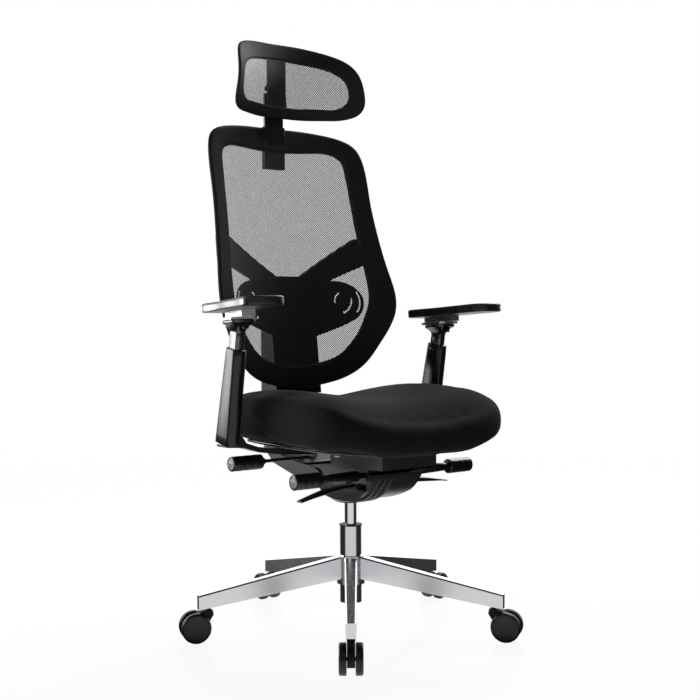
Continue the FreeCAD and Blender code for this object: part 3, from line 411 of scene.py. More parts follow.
cowlPlastic = plastic("cowlPlastic", (0.012, 0.012, 0.013), (0.024, 0.024, 0.026), roughness=0.26,
                      spread=0.06, grain=1300.0, relief=0.04)
wheelPlastic = plastic("wheelPlastic", (0.003, 0.003, 0.004), (0.008, 0.008, 0.009), roughness=0.33,
                       spread=0.08, grain=1100.0, relief=0.08)
padSkin = softSkin("padSkin", (0.012, 0.012, 0.013), (0.022, 0.022, 0.024), roughness=0.42)
padRail = railFinish("padRail", {"toe": 0.122, "from": 0.325, "fade": 0.004, "front": -0.115,
                                 "dark": (0.010, 0.010, 0.011), "bright": (0.30, 0.30, 0.315)})
seatCloth = wovenFabric("seatCloth", {"thread": 0.0011, "sheen": 0.05, "relief": 0.5,
                                      "dark": (0.0035, 0.0035, 0.004), "light": (0.015, 0.015, 0.017)})
backKnit = openKnit("backKnit", {"pitch": 0.0027, "row": 0.0021, "strand": 0.16,
                                 "dark": (0.010, 0.010, 0.011), "light": (0.030, 0.030, 0.033)})
headKnit = openKnit("headKnit", {"pitch": 0.0025, "row": 0.0019, "strand": 0.23,
                                 "dark": (0.010, 0.010, 0.011), "light": (0.030, 0.030, 0.033)})
print("materials made:", len(bpy.data.materials))


# The faces that the meshes of the back and the headrest lie on.

backLine = {"footY": 0.190, "footZ": 0.540, "lean": 0.113, "curl": 0.114, "wrap": 1.15,
            "hug": 0.16, "hugZ": 0.72, "hugHalf": 0.13}
headLine = {"front": 0.252, "apexZ": 1.262, "bow": 4.2, "wrap": 2.6}


def backFace(x, z):
    # foot + lean * rise + curl * rise squared, curled forward by wrap * x squared, most at the loins
    rise = z - backLine["footZ"]
    wrap = backLine["wrap"] + backLine["hug"] * np.exp(-(((z - backLine["hugZ"]) / backLine["hugHalf"]) ** 2))
    return backLine["footY"] + backLine["lean"] * rise + backLine["curl"] * rise**2 - wrap * x**2


def headFace(x, z):
    # front + bow * (height from the apex) squared - wrap * x squared
    return headLine["front"] + headLine["bow"] * (z - headLine["apexZ"]) ** 2 - headLine["wrap"] * x**2


def meshPanel(name, loop, look, face):
    # a stretched sheet: the loop drawn in towards its centre row by row, each point on the face
    centre = np.asarray(look["centre"])
    edge = centre + (loop - centre) * look["meshLap"]
    flat = centre + np.linspace(0, 1, look["meshRows"])[:, None, None] * (edge[None] - centre)
    points = np.stack([flat[..., 0], face(flat[..., 0], flat[..., 1]) + look["meshBehind"], flat[..., 1]], -1)
    piece = makePiece(name, [surface(points)])
    mesh = piece.data
    place = np.empty(len(mesh.vertices) * 3, np.float32)
    mesh.vertices.foreach_get("co", place)
    place = place.reshape(-1, 3)
    corner = np.empty(len(mesh.loops), np.int32)
    mesh.loops.foreach_get("vertex_index", corner)
    sheetMap = mesh.uv_layers.new(name="sheet")
    sheetMap.data.foreach_set("uv", place[corner][:, [0, 2]].astype(np.float32).ravel())
    return piece


def cutSize(loop, look):
    # a sheet's flat width and length with hems, and its flat area: the shoelace sum of the loop, eased
    width, length = (round(float(size) + look["hem"], 3) for size in np.ptp(loop, axis=0))
    x, z = loop[:, 0], loop[:, 1]
    area = 0.5 * abs(np.sum(x * np.roll(z, -1) - z * np.roll(x, -1)))
    return (width, length), round(area * look["ease"], 4)


# Back: a frame ring with a mesh stretched in it.

back = {
    "outer": [(0, 1.167), (0.080, 1.166), (0.135, 1.160), (0.180, 1.149), (0.209, 1.130), (0.223, 1.094),
              (0.227, 1.045), (0.228, 0.985), (0.232, 0.930), (0.238, 0.872), (0.246, 0.815), (0.253, 0.765),
              (0.250, 0.720), (0.236, 0.682), (0.210, 0.638), (0.176, 0.592), (0.128, 0.560), (0.065, 0.543),
              (0, 0.536)],
    "inner": [(0, 1.106), (0.050, 1.108), (0.100, 1.111), (0.148, 1.109), (0.171, 1.096), (0.179, 1.065),
              (0.182, 1.000), (0.185, 0.930), (0.190, 0.868), (0.195, 0.812), (0.197, 0.770), (0.194, 0.738),
              (0.183, 0.708), (0.170, 0.678), (0.145, 0.642), (0.112, 0.613), (0.070, 0.598), (0, 0.591)],
    "lead": 0.001, "depth": 0.016, "edge": 0.0085, "stations": 260,
    "centre": (0.0, 0.86), "meshLap": 1.012, "meshRows": 36, "meshBehind": 0.0012, "hem": 0.02, "ease": 1.03,
}
backOuter = closedSpline(bothHalves(back["outer"]), back["stations"])
backInner = closedSpline(bothHalves(back["inner"]), back["stations"])
backBand = bandSurface(backOuter, backInner, backFace, back["lead"], back["depth"], back["edge"])
backRing = makePiece("backRing", [backBand], 60)
fit(backRing, matteFrame, "back", "black_plastic", "back_frame")

backMesh = meshPanel("backMesh", backInner, back, backFace)
fit(backMesh, backKnit, "back", "mesh_fabric", "back_mesh")
backFlat, backArea = cutSize(backInner, back)
print("back made")


# Headrest: a smaller ring with its bar and hinge lugs, and its own mesh.

headrest = {
    "outer": [(0, 1.373), (0.056, 1.371), (0.098, 1.362), (0.132, 1.348), (0.156, 1.330), (0.170, 1.306),
              (0.177, 1.278), (0.182, 1.245), (0.184, 1.220), (0.178, 1.202), (0.158, 1.191), (0.120, 1.188),
              (0.060, 1.187), (0, 1.188)],
    "inner": [(0, 1.325), (0.045, 1.322), (0.090, 1.315), (0.124, 1.302), (0.144, 1.282), (0.152, 1.254),
              (0.150, 1.229), (0.137, 1.217), (0.100, 1.214), (0.050, 1.213), (0, 1.213)],
    "lead": 0.001, "depth": 0.014, "edge": 0.0075, "stations": 200,
    "centre": (0.0, 1.265), "meshLap": 1.02, "meshRows": 20, "meshBehind": 0.0012, "hem": 0.02, "ease": 1.06,
    "barHalf": 0.026, "barDeep": 0.006, "barCorner": 0.0045, "barEdge": 0.003, "barStations": 26,
    "barLine": [(1.199, 0.2795), (1.225, 0.2865), (1.262, 0.2895), (1.310, 0.2895), (1.350, 0.2905)],
    "hinge": (0.303, 1.262), "knuckle": 0.0065, "knuckleEdge": 0.001,
    "knuckleEnds": ((-0.022, -0.0094), (0.0094, 0.022)),
    "lug": (0.0063, 0.0058, 0.002), "lugLength": 0.014, "lugFront": 0.0145,
}
headOuter = closedSpline(bothHalves(headrest["outer"]), headrest["stations"])
headInner = closedSpline(bothHalves(headrest["inner"]), headrest["stations"])
barLine = openSpline(headrest["barLine"], headrest["barStations"])
bar = postSurface(barLine[:, 0], headrest["barHalf"], headrest["barDeep"], headrest["barCorner"], 0.0,
                  barLine[:, 1], headrest["barEdge"])
hingeY, hingeZ = headrest["hinge"]
full, chamfer = headrest["knuckle"], headrest["knuckleEdge"]
knuckles = []
for low, high in headrest["knuckleEnds"]:
    turned = [(low, 0), (low, full - chamfer), (low + chamfer, full), (high - chamfer, full),
              (high, full - chamfer), (high, 0)]
    knuckles.append(turnedSurface(turned, (0, hingeY, hingeZ), (1, 0, 0), 28))
    lug = postSurface(np.array([0, headrest["lugLength"]]), *headrest["lug"], edge=0.001)
    lug = np.stack([lug[..., 0] + 0.5 * (low + high), hingeY - headrest["lugFront"] + lug[..., 2],
                    hingeZ + lug[..., 1]], -1)
    knuckles.append(surface(lug))
headBand = bandSurface(headOuter, headInner, headFace, headrest["lead"], headrest["depth"], headrest["edge"])
headRing = makePiece("headRing", [headBand, surface(bar)] + knuckles, 50)
fit(headRing, matteFrame, "headrest", "black_plastic", "headrest_frame")

headMesh = meshPanel("headMesh", headInner, headrest, headFace)
fit(headMesh, headKnit, "headrest", "mesh_fabric", "headrest_mesh")
headFlat, headArea = cutSize(headInner, headrest)
print("headrest made")


# Seat: a padded cushion on a moulded shell.

seat = {
    "plan": [(0, 0.205), (0.120, 0.204), (0.196, 0.196), (0.238, 0.166), (0.251, 0.100), (0.252, 0.0),
             (0.252, -0.130), (0.247, -0.220), (0.222, -0.268), (0.170, -0.292), (0.085, -0.299),
             (0, -0.300)],
    "centre": (0.0, -0.045), "roll": 0.034, "fullness": 2.5, "around": 200,
    # the top: crown height, then (start, width, depth) of its long arch and of its falls, and (width, depth)
    "crown": 0.549, "arch": (-0.050, 0.270, 0.033), "frontFall": (0.175, 0.125, 0.046),
    "sideFall": (0.205, 0.047, 0.026), "dish": (0.215, 0.020),
    # the underside: how far above the pan's face it starts, its curls, and how it hangs round the front
    "panGap": 0.0073, "sideCurl": (0.218, 0.034, 0.016), "frontCurl": (0.250, 0.050, 0.020),
    "hang": 0.016, "hangAlong": (-0.02, 0.26), "hangAcross": (0.08, 0.22), "hangEase": 0.35,
    "hangShare": (0.90, 1.0), "cornerLift": 0.012, "cornerAcross": (0.11, 0.23), "cornerAlong": (0.17, 0.27),
    "creaseStart": (0.085, 0.508), "creaseEnd": (-0.030, 0.440), "creaseDeep": 0.0060, "creaseHalf": 0.011,
    "creaseIn": (-0.02, 0.02), "creaseOut": (-0.03, 0.01), "creaseSide": 0.5,
    "startIn": 0.003, "voxel": 0.0055, "pressure": 4.0, "frames": 20, "cap": 0.005, "calmSteps": 10,
}
pan = {"z": 0.4124, "side": (0.234, 0.026), "ends": (-0.037, 0.225, 0.009), "share": 0.905, "thick": 0.006,
       "rim": 0.012, "rows": 24, "rimRows": 9}


def panFace(x, y):
    # flat in the middle, rising with the fourth power towards its edges
    (sideWide, sideRise), (middle, endWide, endRise) = pan["side"], pan["ends"]
    return pan["z"] + sideRise * (x / sideWide) ** 4 + endRise * ((y - middle) / endWide) ** 4


def fallPast(value, start, width, depth):
    # 0 up to the start, then depth * (distance past it / width) squared
    return depth * np.maximum(0, (value - start) / width) ** 2


def cushionTop(x, y):
    # crown height less a long arch, a falling front, a dish between the sides and the sides' own fall
    (middle, archWide, archDeep), (dishWide, dishDeep) = seat["arch"], seat["dish"]
    arch = archDeep * ((y - middle) / archWide) ** 2
    front = fallPast(-y, *seat["frontFall"])
    dish = dishDeep * (1 - np.minimum(1, (x / dishWide) ** 2)) ** 2
    side = fallPast(np.abs(x), *seat["sideFall"])
    return seat["crown"] - arch - front - dish - side


def smoothStep(value, start, end):
    # 0 before the start, 1 after the end, and 3 t^2 - 2 t^3 between them
    share = np.clip((value - start) / (end - start), 0, 1)
    return share * share * (3 - 2 * share)


def cushionBase(x, y, share):
    # rests on the pan, curls up towards its sides and its front edge, and hangs below the pan round its front
    away = np.abs(x)
    side, front = fallPast(away, *seat["sideCurl"]), fallPast(-y, *seat["frontCurl"])
    corner = smoothStep(away, *seat["cornerAcross"]) * smoothStep(-y, *seat["cornerAlong"])
    hang = seat["hang"] * smoothStep(-y, *seat["hangAlong"])
    hang = hang * (1 - seat["hangEase"] * smoothStep(away, *seat["hangAcross"])) - seat["cornerLift"] * corner
    return panFace(x, y) + seat["panGap"] + side + front - hang * smoothStep(share, *seat["hangShare"])


def sideCrease(y, z):
    # the cover's soft fold at the rear of each side: deep along a short line, fading away from it
    start, end = np.array(seat["creaseStart"]), np.array(seat["creaseEnd"])
    length = np.linalg.norm(end - start)
    along = (end - start) / length
    reachAlong = (y - start[0]) * along[0] + (z - start[1]) * along[1]
    off = (y - start[0]) * along[1] - (z - start[1]) * along[0]
    endFrom, endTo = seat["creaseOut"]
    ends = 1 - smoothStep(reachAlong, length + endFrom, length + endTo)
    ends = smoothStep(reachAlong, *seat["creaseIn"]) * ends
    return seat["creaseDeep"] * ends * np.exp(-(off / seat["creaseHalf"]) ** 2)


def seatOutline():
    # the cushion's outline from above: its centre, and every point's distance and direction from there
    centre = np.array(seat["centre"])
    loop = closedSpline(bothHalves(seat["plan"]), seat["around"]) - centre
    reach = np.linalg.norm(loop, axis=1)[:, None]
    return centre, reach, loop / reach


def cushionSurface(inset):
    # top and underside follow their own faces; the side between them is a superellipse that bulges outwards
    centre, reach, out = seatOutline()
    edge = centre + out * (reach - seat["roll"])
    share = np.sin(np.linspace(0, 0.5 * math.pi, 34))[:, None, None]
    flat = centre + share * (edge[None] - centre)
    top = cushionTop(flat[..., 0], flat[..., 1]) - inset
    low = cushionBase(flat[..., 0], flat[..., 1], share[..., 0]) + inset
    angle = np.linspace(0.5 * math.pi, -0.5 * math.pi, 25)[1:-1][:, None]
    power = 2 / seat["fullness"]
    bulge = (seat["roll"] - inset) * np.cos(angle) ** power
    swing = np.sign(np.sin(angle)) * np.abs(np.sin(angle)) ** power
    height = 0.5 * (top[-1] + low[-1]) + 0.5 * (top[-1] - low[-1]) * swing
    beside = np.abs(out[None, :, 0]) > seat["creaseSide"]
    bulge = bulge - sideCrease((edge + out * seat["roll"])[None, :, 1], height) * beside
    sideFlat = edge[None] + out[None] * bulge[..., None]
    rows = [np.concatenate([flat, top[..., None]], -1), np.concatenate([sideFlat, height[..., None]], -1),
            np.concatenate([flat[::-1], low[::-1][..., None]], -1)]
    return surface(np.concatenate(rows))


def swell(piece, look):
    # foam under its cover: remeshed, blown up as cloth for a moment, then held near its first shape
    remesh = piece.modifiers.new("even", "REMESH")
    remesh.mode, remesh.voxel_size = "VOXEL", look["voxel"]
    bpy.context.view_layer.update()
    even = bpy.data.meshes.new_from_object(piece.evaluated_get(bpy.context.evaluated_depsgraph_get()))
    piece.modifiers.clear()
    piece.data = even
    first = np.empty(len(even.vertices) * 3, np.float32)
    even.vertices.foreach_get("co", first)
    cloth = piece.modifiers.new("cover", "CLOTH")
    cloth.settings.use_pressure = True
    cloth.settings.uniform_pressure_force = look["pressure"]
    cloth.settings.effector_weights.gravity = 0
    cloth.point_cache.frame_start, cloth.point_cache.frame_end = 1, look["frames"]
    for step in range(1, look["frames"] + 1):
        bpy.context.scene.frame_set(step)
    blown = bpy.data.meshes.new_from_object(piece.evaluated_get(bpy.context.evaluated_depsgraph_get()))
    piece.modifiers.clear()
    bpy.context.scene.frame_set(1)
    last = np.empty(len(first), np.float32)
    blown.vertices.foreach_get("co", last)
    move = (last - first).reshape(-1, 3)
    far = np.linalg.norm(move, axis=1)[:, None]
    capped = first.reshape(-1, 3) + move * (np.tanh(far / look["cap"]) * look["cap"] / np.maximum(far, 1e-9))
    piece.data = blown
    blown.vertices.foreach_set("co", capped.astype(np.float32).ravel())
    blown.update()
    blown.shade_smooth()


seatCushion = makePiece("seatCushion", [cushionSurface(seat["startIn"])], 180)
swell(seatCushion, seat)
print("cushion swollen:", len(seatCushion.data.polygons), "faces")
calm = seatCushion.modifiers.new("calm", "SMOOTH")        # takes out the fine wrinkles, keeps the fold
calm.factor, calm.iterations = 0.5, seat["calmSteps"]
smoother = seatCushion.modifiers.new("smooth", "SUBSURF")
smoother.levels = smoother.render_levels = 1
fit(seatCushion, seatCloth, "seat", "seat_fabric", "seat_cushion")


def panSurface():
    # a shallow moulded shell under the cushion: its outline is drawn in from the cushion's, its edge rounded
    centre, reach, out = seatOutline()
    edge = centre + out * (reach - seat["roll"]) * pan["share"]
    half = 0.5 * pan["thick"]
    turn = np.linspace(0.5 * math.pi, -0.5 * math.pi, pan["rimRows"])
    share = np.linspace(0, 1, pan["rows"])
    shares = np.concatenate([share[:-1], 1 + pan["rim"] * np.cos(turn), share[-2::-1]])[:, None, None]
    flatRow = np.full(pan["rows"] - 1, half)
    lift = np.concatenate([flatRow, half * np.sin(turn), -flatRow])[:, None]
    flat = centre + shares * (edge[None] - centre)
    height = panFace(flat[..., 0], flat[..., 1]) + half + lift
    return surface(np.concatenate([flat, height[..., None]], -1))


fit(makePiece("panShell", [panSurface()], 60), cowlPlastic, "seat", "gloss_plastic", "seat_pan")
print("seat made")


# Arms: a sleeve, a stem with its flared neck, and a pad on its rail.

arm = {
    "x": 0.286, "footY": 0.062, "footZ": 0.432, "lean": math.radians(10), "notch": 0.007,
    # the sleeve's sizes at its foot and what they gain by its top; a section is two half sizes and a radius
    "sleeveLength": 0.211, "sleeveHalfX": (0.016, 0.0005), "sleeveHalfY": (0.034, -0.009),
    "sleeveCorner": (0.0152, -0.001), "sleeveShift": (0.003, -0.004), "sleeveEdge": 0.003,
    "stemSection": (0.011, 0.017, 0.0062), "stemRises": (0.130, 0.201, 0.228, 0.240), "stemEdge": 0.001,
    "neckFoot": (0.239, 0.240), "neckRows": 12, "flare": 2.1,
    "capSection": (0.029, 0.031, 0.016), "capLow": -0.0363, "capHigh": -0.0299, "capEdge": 0.0015,
    "padY": -0.027, "padZ": 0.726, "pitch": math.radians(4), "toe": math.radians(7), "hubY": 0.044,
    "padPlan": [(0.053, 0.112), (0.054, 0.060), (0.0545, 0.0), (0.054, -0.060), (0.052, -0.098),
                (0.038, -0.115), (0.008, -0.120), (-0.022, -0.115), (-0.036, -0.098), (-0.038, -0.060),
                (-0.0385, 0.0), (-0.038, 0.060), (-0.037, 0.112), (-0.022, 0.120), (0.038, 0.120)],
    "padMiddle": (0.008, 0.0), "padHalf": 0.0095, "padEdge": 0.005, "padCrown": 0.0012, "padAround": 120,
    "padSeam": 0.0008, "padTuck": 0.0018,        # the groove above the rail: its height and its depth
    "trimLow": -0.0095, "trimHigh": 0.0062, "trimTop": 0.0012, "trimIn": 0.0006, "trimRound": 0.004,
}
topLoop = slice(5, 6)        # in a post of two stations: the first row of its upper end


def leanedOn(points, side):
    # drawn upright on the post's foot, then leaned and set in place
    placed = turnedBy(points, arm["lean"], (1, 0, 0)) + np.array([arm["x"], arm["footY"], arm["footZ"]])
    return placed * np.array([side, 1, 1])


def onPad(points, side, toed=True):
    # drawn flat about the pad's middle, then toed out, pitched, set in place and raised with its own notch
    if toed:
        points = turnedBy(points, arm["toe"], (0, 0, 1), (0, arm["hubY"], 0))
    placed = turnedBy(points, -arm["pitch"], (1, 0, 0)) + np.array([arm["x"], arm["padY"], arm["padZ"]])
    return (placed + notchMove(side)) * np.array([side, 1, 1])


def notchMove(side):
    # the right arm stands one notch above the mean height, the left one below
    return -side * arm["notch"] * np.array([0, -math.sin(arm["lean"]), math.cos(arm["lean"])])


def makeSleeveAndStem(name, side):
    # the neck's section goes from the stem's to the cap's with its height to the power of flare
    mirror = np.array([side, 1, 1])
    share = np.linspace(0, 1, 12)
    halfX, halfY, corner, shiftY = (arm[key][0] + arm[key][1] * share
                                    for key in ("sleeveHalfX", "sleeveHalfY", "sleeveCorner", "sleeveShift"))
    sleeve = postSurface(share * arm["sleeveLength"], halfX, halfY, corner, 0.0, shiftY, arm["sleeveEdge"])
    fit(makePiece(f"armSleeve_{name}", [surface(leanedOn(sleeve, side))]), sheenPlastic, "seat_plate",
        "gloss_plastic", f"arm_sleeve_{name}")
    stem = postSurface(np.array(arm["stemRises"]), *arm["stemSection"], edge=arm["stemEdge"])
    stem = leanedOn(stem, 1) + notchMove(side)
    low = leanedOn(postSurface(np.array(arm["neckFoot"]), *arm["stemSection"])[topLoop], 1) + notchMove(side)
    high = postSurface(np.array([0, 0.001]), *arm["capSection"], 0.0, arm["hubY"])[topLoop]
    high[..., 2] = arm["capLow"]
    high = onPad(high, side, False) * mirror
    share = np.linspace(0, 1, arm["neckRows"])[:, None, None]
    neck = low * (1 - share ** arm["flare"]) + high * share ** arm["flare"]
    neck[..., 2] = (low * (1 - share) + high * share)[..., 2]
    foot, head = (np.repeat(row.mean(1, keepdims=True), neck.shape[1], 1) for row in (neck[:1], neck[-1:]))
    neck = np.concatenate([foot, neck, head])
    cap = np.array([arm["capLow"], arm["capHigh"]])
    cap = postSurface(cap, *arm["capSection"], 0.0, arm["hubY"], arm["capEdge"])
    cap = onPad(cap, side, False) * mirror
    fit(makePiece(f"armStem_{name}", [surface(part * mirror) for part in (stem, neck, cap)]), neckMetal,
        f"arm_stem_{name}", "polished_aluminium", f"arm_stem_{name}")


def padPart(piece, side, rows):
    # the pad's outline filled in by rows of (share of the way out, inset, height)
    middle = np.array(arm["padMiddle"])
    points = discSurface(closedSpline(arm["padPlan"], arm["padAround"]) - middle, rows)
    points[..., :2] += middle
    return makePiece(piece, [surface(onPad(points, side))], 50)


def makePad(name, side):
    half, edge, seam, tuck = arm["padHalf"], arm["padEdge"], arm["padSeam"], arm["padTuck"]
    low, high, inset, corner = arm["trimLow"], arm["trimHigh"], arm["trimIn"], arm["trimRound"]
    turn = np.linspace(0, 0.5 * math.pi, 7)
    rows = [(s, edge, half + arm["padCrown"] * (1 - s**2)) for s in np.linspace(0, 1, 9)[:-1]]
    rows += [(1, edge * (1 - math.sin(a)), half - edge * (1 - math.cos(a))) for a in turn]
    rows += [(1, 0.0, high), (1, tuck, high - seam), (0, tuck, high - seam)]
    fit(padPart(f"armPad_{name}", side, rows), padSkin, f"arm_pad_{name}", "soft_pad", f"arm_pad_{name}")
    rows = [(0, arm["trimTop"], high - arm["trimTop"]), (1, arm["trimTop"], high - arm["trimTop"]),
            (1, inset, high - seam)]
    rows += [(1, inset + corner * (1 - math.cos(a)), low + corner * (1 - math.sin(a))) for a in turn]
    rows += [(0, corner, low)]
    fit(padPart(f"armPadTrim_{name}", side, rows), padRail, f"arm_pad_{name}", "gloss_plastic")


for name, side in sides.items():
    makeSleeveAndStem(name, side)
    makePad(name, side)
print("arms made")


# Controls under the seat: the depth lever, two twist grips, two paddles, and the cowl's ribs.

grips = {
    "radius": 0.0165, "ribs": 3, "ribDeep": 0.0004, "ribFrom": 0.008, "ribTo": 0.010,
    "innerRound": 0.003, "outerRound": 0.0025, "lip": (0.0035, 0.0038), "recess": 0.0012,
    # the cap: (height, inset from its own radius) of its rings, then (height, radius) of its middle
    "capInset": 0.0040, "capSunk": 0.002,
    "capRings": [(0.0006, 0), (0.0010, 0.0006), (0.0010, 0.0022), (0.0002, 0.0028), (0.0002, 0.0046),
                 (0.0009, 0.0052)],
    "capMiddle": [(0.0010, 0.004), (0.0003, 0.0034), (0.0003, 0.0022), (0.0009, 0.0016), (0.0010, 0)],
    # a shaft is (distance along, radius), and a neck the same, measured from the barrel's inner end
    "lever": {"y": 0.060, "z": 0.389, "end": 0.280, "length": 0.078, "shaft": [(0.071, 0.004)],
              "neck": [(-0.010, 0.004), (-0.009, 0.0068), (0.0, 0.0095)]},
    "twist": {"y": -0.126, "z": 0.366, "end": 0.246, "length": 0.066,
              "shaft": [(0.0006, 0.0065), (0.0516, 0.0065), (0.0516, 0.009), (0.0556, 0.009),
                        (0.0556, 0.0065), (0.079, 0.0065), (0.079, 0.0105), (0.081, 0.0115)],
              "neck": [(-0.006, 0.009), (-0.005, 0.007), (0.0, 0.007)]},
}


def gripProfile(spec):
    # shaft, neck and barrel as one profile along the axis: the barrel has shallow ribs and rounded ends
    inner, end, radius = spec["end"] - spec["length"], spec["end"], grips["radius"]
    inRound, outRound = grips["innerRound"], grips["outerRound"]
    rows = [(spec["shaft"][0][0], 0)] + spec["shaft"] + [(inner + a, size) for a, size in spec["neck"]]
    turn = np.linspace(0, 0.5 * math.pi, 6)
    rows += [(inner + inRound * (1 - math.cos(a)), radius - inRound * (1 - math.sin(a))) for a in turn]
    ribs = np.linspace(inner + grips["ribFrom"], end - grips["ribTo"], 8 * grips["ribs"])
    wave = np.maximum(0, np.cos(np.linspace(0, 2 * math.pi * grips["ribs"], len(ribs)))) ** 3
    rows += [(a, radius - grips["ribDeep"] * w) for a, w in zip(ribs, wave)]
    rows += [(end - outRound * (1 - math.sin(a)), radius - outRound * (1 - math.cos(a))) for a in turn]
    floor = end - grips["recess"]
    rows += [(end, radius - grips["lip"][0]), (floor, radius - grips["lip"][1]), (floor, 0)]
    return rows


def capProfile(spec):
    # a turned metal disc set in the barrel's end, with two rings and a domed middle
    end, size = spec["end"] - grips["recess"], grips["radius"] - grips["capInset"]
    rows = [(end - grips["capSunk"], 0), (end - grips["capSunk"], size)]
    rows += [(end + height, size - inset) for height, inset in grips["capRings"]]
    return rows + [(end + height, radius) for height, radius in grips["capMiddle"]]


def makeGrip(piece, spec, side, body):
    start, way = (0, spec["y"], spec["z"]), (side, 0, 0)
    barrel = makePiece(piece, [turnedSurface(gripProfile(spec), start, way)], 32)
    fit(barrel, sheenPlastic, body, "black_plastic", body)        # the CAD node has its body's name
    fit(makePiece(piece + "Cap", [turnedSurface(capProfile(spec), start, way)], 25), capMetal, body, "steel")


makeGrip("depthLever", grips["lever"], -1, "depth_lever")
for name, side in sides.items():
    makeGrip(f"twistGrip_{name}", grips["twist"], side, f"grip_{name}")

paddle = {
    "root": 0.0606, "tip": 0.205, "y": -0.090, "pivotZ": 0.342, "drop": {"left": 0.013, "right": 0.024},
    "halfWide": 0.0155, "tipWide": 0.010, "halfThick": {"left": 0.0055, "right": 0.0042}, "thin": 0.0016,
    "peakShift": 0.12, "peakPower": 0.8, "corner": 0.95, "edge": 0.0008, "bow": 1.6,
}


def paddleSurface(name, side):
    # a curved fin, thickest near its root: its middle line falls with its length to the power of bow
    share = np.linspace(0, 1, 28)
    length, thin = paddle["tip"] - paddle["root"], paddle["thin"]
    wide = paddle["halfWide"] + (paddle["tipWide"] - paddle["halfWide"]) * share**2
    peak = np.sin(math.pi * np.clip(share + paddle["peakShift"], 0, 1) ** paddle["peakPower"])
    thick = thin + (paddle["halfThick"][name] - thin) * peak
    corner = paddle["corner"] * np.minimum(wide, thick)
    fin = postSurface(share * length, wide, thick, corner, edge=paddle["edge"])
    x = paddle["root"] + fin[..., 2]
    fall = paddle["drop"][name] * np.clip((x - paddle["root"]) / length, 0, 1) ** paddle["bow"]
    return surface(np.stack([x * side, paddle["y"] + fin[..., 0], paddle["pivotZ"] + fin[..., 1] - fall], -1))


for name, side in sides.items():
    fit(makePiece(f"paddleFin_{name}", [paddleSurface(name, side)], 50), sheenPlastic, f"paddle_{name}",
        "black_plastic", f"paddle_{name}")


cowl = {"line": [(-0.1665, 0.3615), (-0.128, 0.322), (-0.066, 0.3005), (-0.014, 0.2975), (0.020, 0.3035)],
        "ribs": (-0.046, -0.029, -0.012), "half": 0.0050, "stand": 0.0034}


def ribSurface(x):
    # a half-round rib along the cowl's side line, fading into the cowl at both ends
    line = openSpline(cowl["line"], 40)
    along = np.gradient(line, axis=0)
    along /= np.linalg.norm(along, axis=1)[:, None]
    out = np.stack([along[:, 1], -along[:, 0]], 1)
    fade = np.sqrt(np.clip(np.sin(np.linspace(0, math.pi, len(line))) * 3, 0, 1))[:, None]
    angle = np.linspace(0, 2 * math.pi, 16, endpoint=False)[None, :]
    wide, tall = fade * cowl["half"] * np.cos(angle), fade * cowl["stand"] * np.sin(angle)
    y = line[:, :1] + out[:, :1] * tall
    z = line[:, 1:] + out[:, 1:] * tall
    return surface(np.stack([x + wide, y, z], -1))


cowlRibs = makePiece("cowlRibs", [ribSurface(x) for x in cowl["ribs"]], 50)
fit(cowlRibs, cowlPlastic, "mechanism", "gloss_plastic")
print("controls made")


# Casters: ten wheels, two on each leg.

wheel = {"radius": 0.0325, "gap": 0.0085, "width": 0.016, "circle": 0.357, "play": 0.0003,
         "innerRound": 0.003, "grooves": (0.36, 0.64), "grooveHalf": 0.0008, "grooveFloor": 0.0004,
         "grooveDeep": 0.0006,
         "outerRound": 0.0045, "rim": [(0, 0.0062), (0.0006, 0.0070)], "faceIn": 0.0008, "faceRadius": 0.010}
headings = [math.radians(72 * leg - 127.7) for leg in range(5)]        # the five legs, from +X towards +Y


def wheelProfile():
    # inner face, rounded tread with two grooves, and an outer face dished inside a raised rim
    near, wide, radius = wheel["gap"] + wheel["play"], wheel["width"] - wheel["play"], wheel["radius"]
    inRound, outRound, far = wheel["innerRound"], wheel["outerRound"], near + wide
    turn = np.linspace(0, 0.5 * math.pi, 6)
    rows = [(near, 0), (near, radius - inRound)]
    rows += [(near + inRound * (1 - math.cos(a)), radius - inRound * (1 - math.sin(a))) for a in turn[1:]]
    for groove in wheel["grooves"]:
        middle, low = near + wide * groove, radius - wheel["grooveDeep"]
        half, floor = wheel["grooveHalf"], wheel["grooveFloor"]
        rows += [(middle - half, radius), (middle - floor, low)]
        rows += [(middle + floor, low), (middle + half, radius)]
    rows += [(far - outRound * (1 - math.sin(a)), radius - outRound * (1 - math.cos(a))) for a in turn]
    rows += [(far - inset, radius - drop) for inset, drop in wheel["rim"]]
    return rows + [(far - wheel["faceIn"], wheel["faceRadius"]), (far - wheel["faceIn"], 0)]


for number, heading in enumerate(headings, 1):
    centre = (wheel["circle"] * math.cos(heading), wheel["circle"] * math.sin(heading), wheel["radius"])
    across = np.array([-math.sin(heading), math.cos(heading), 0])
    for which, way in (("inner", 1), ("outer", -1)):
        shape = turnedSurface(wheelProfile(), centre, across * way, 56)
        piece = makePiece(f"wheel_{number}_{which}", [shape], 34)
        body = f"caster_{number}_wheel_{which}"        # the wheel's CAD node has the same name
        fit(piece, wheelPlastic, body, "caster_plastic", body)
print("casters made")


# Finishes of the CAD nodes that stay as they are.

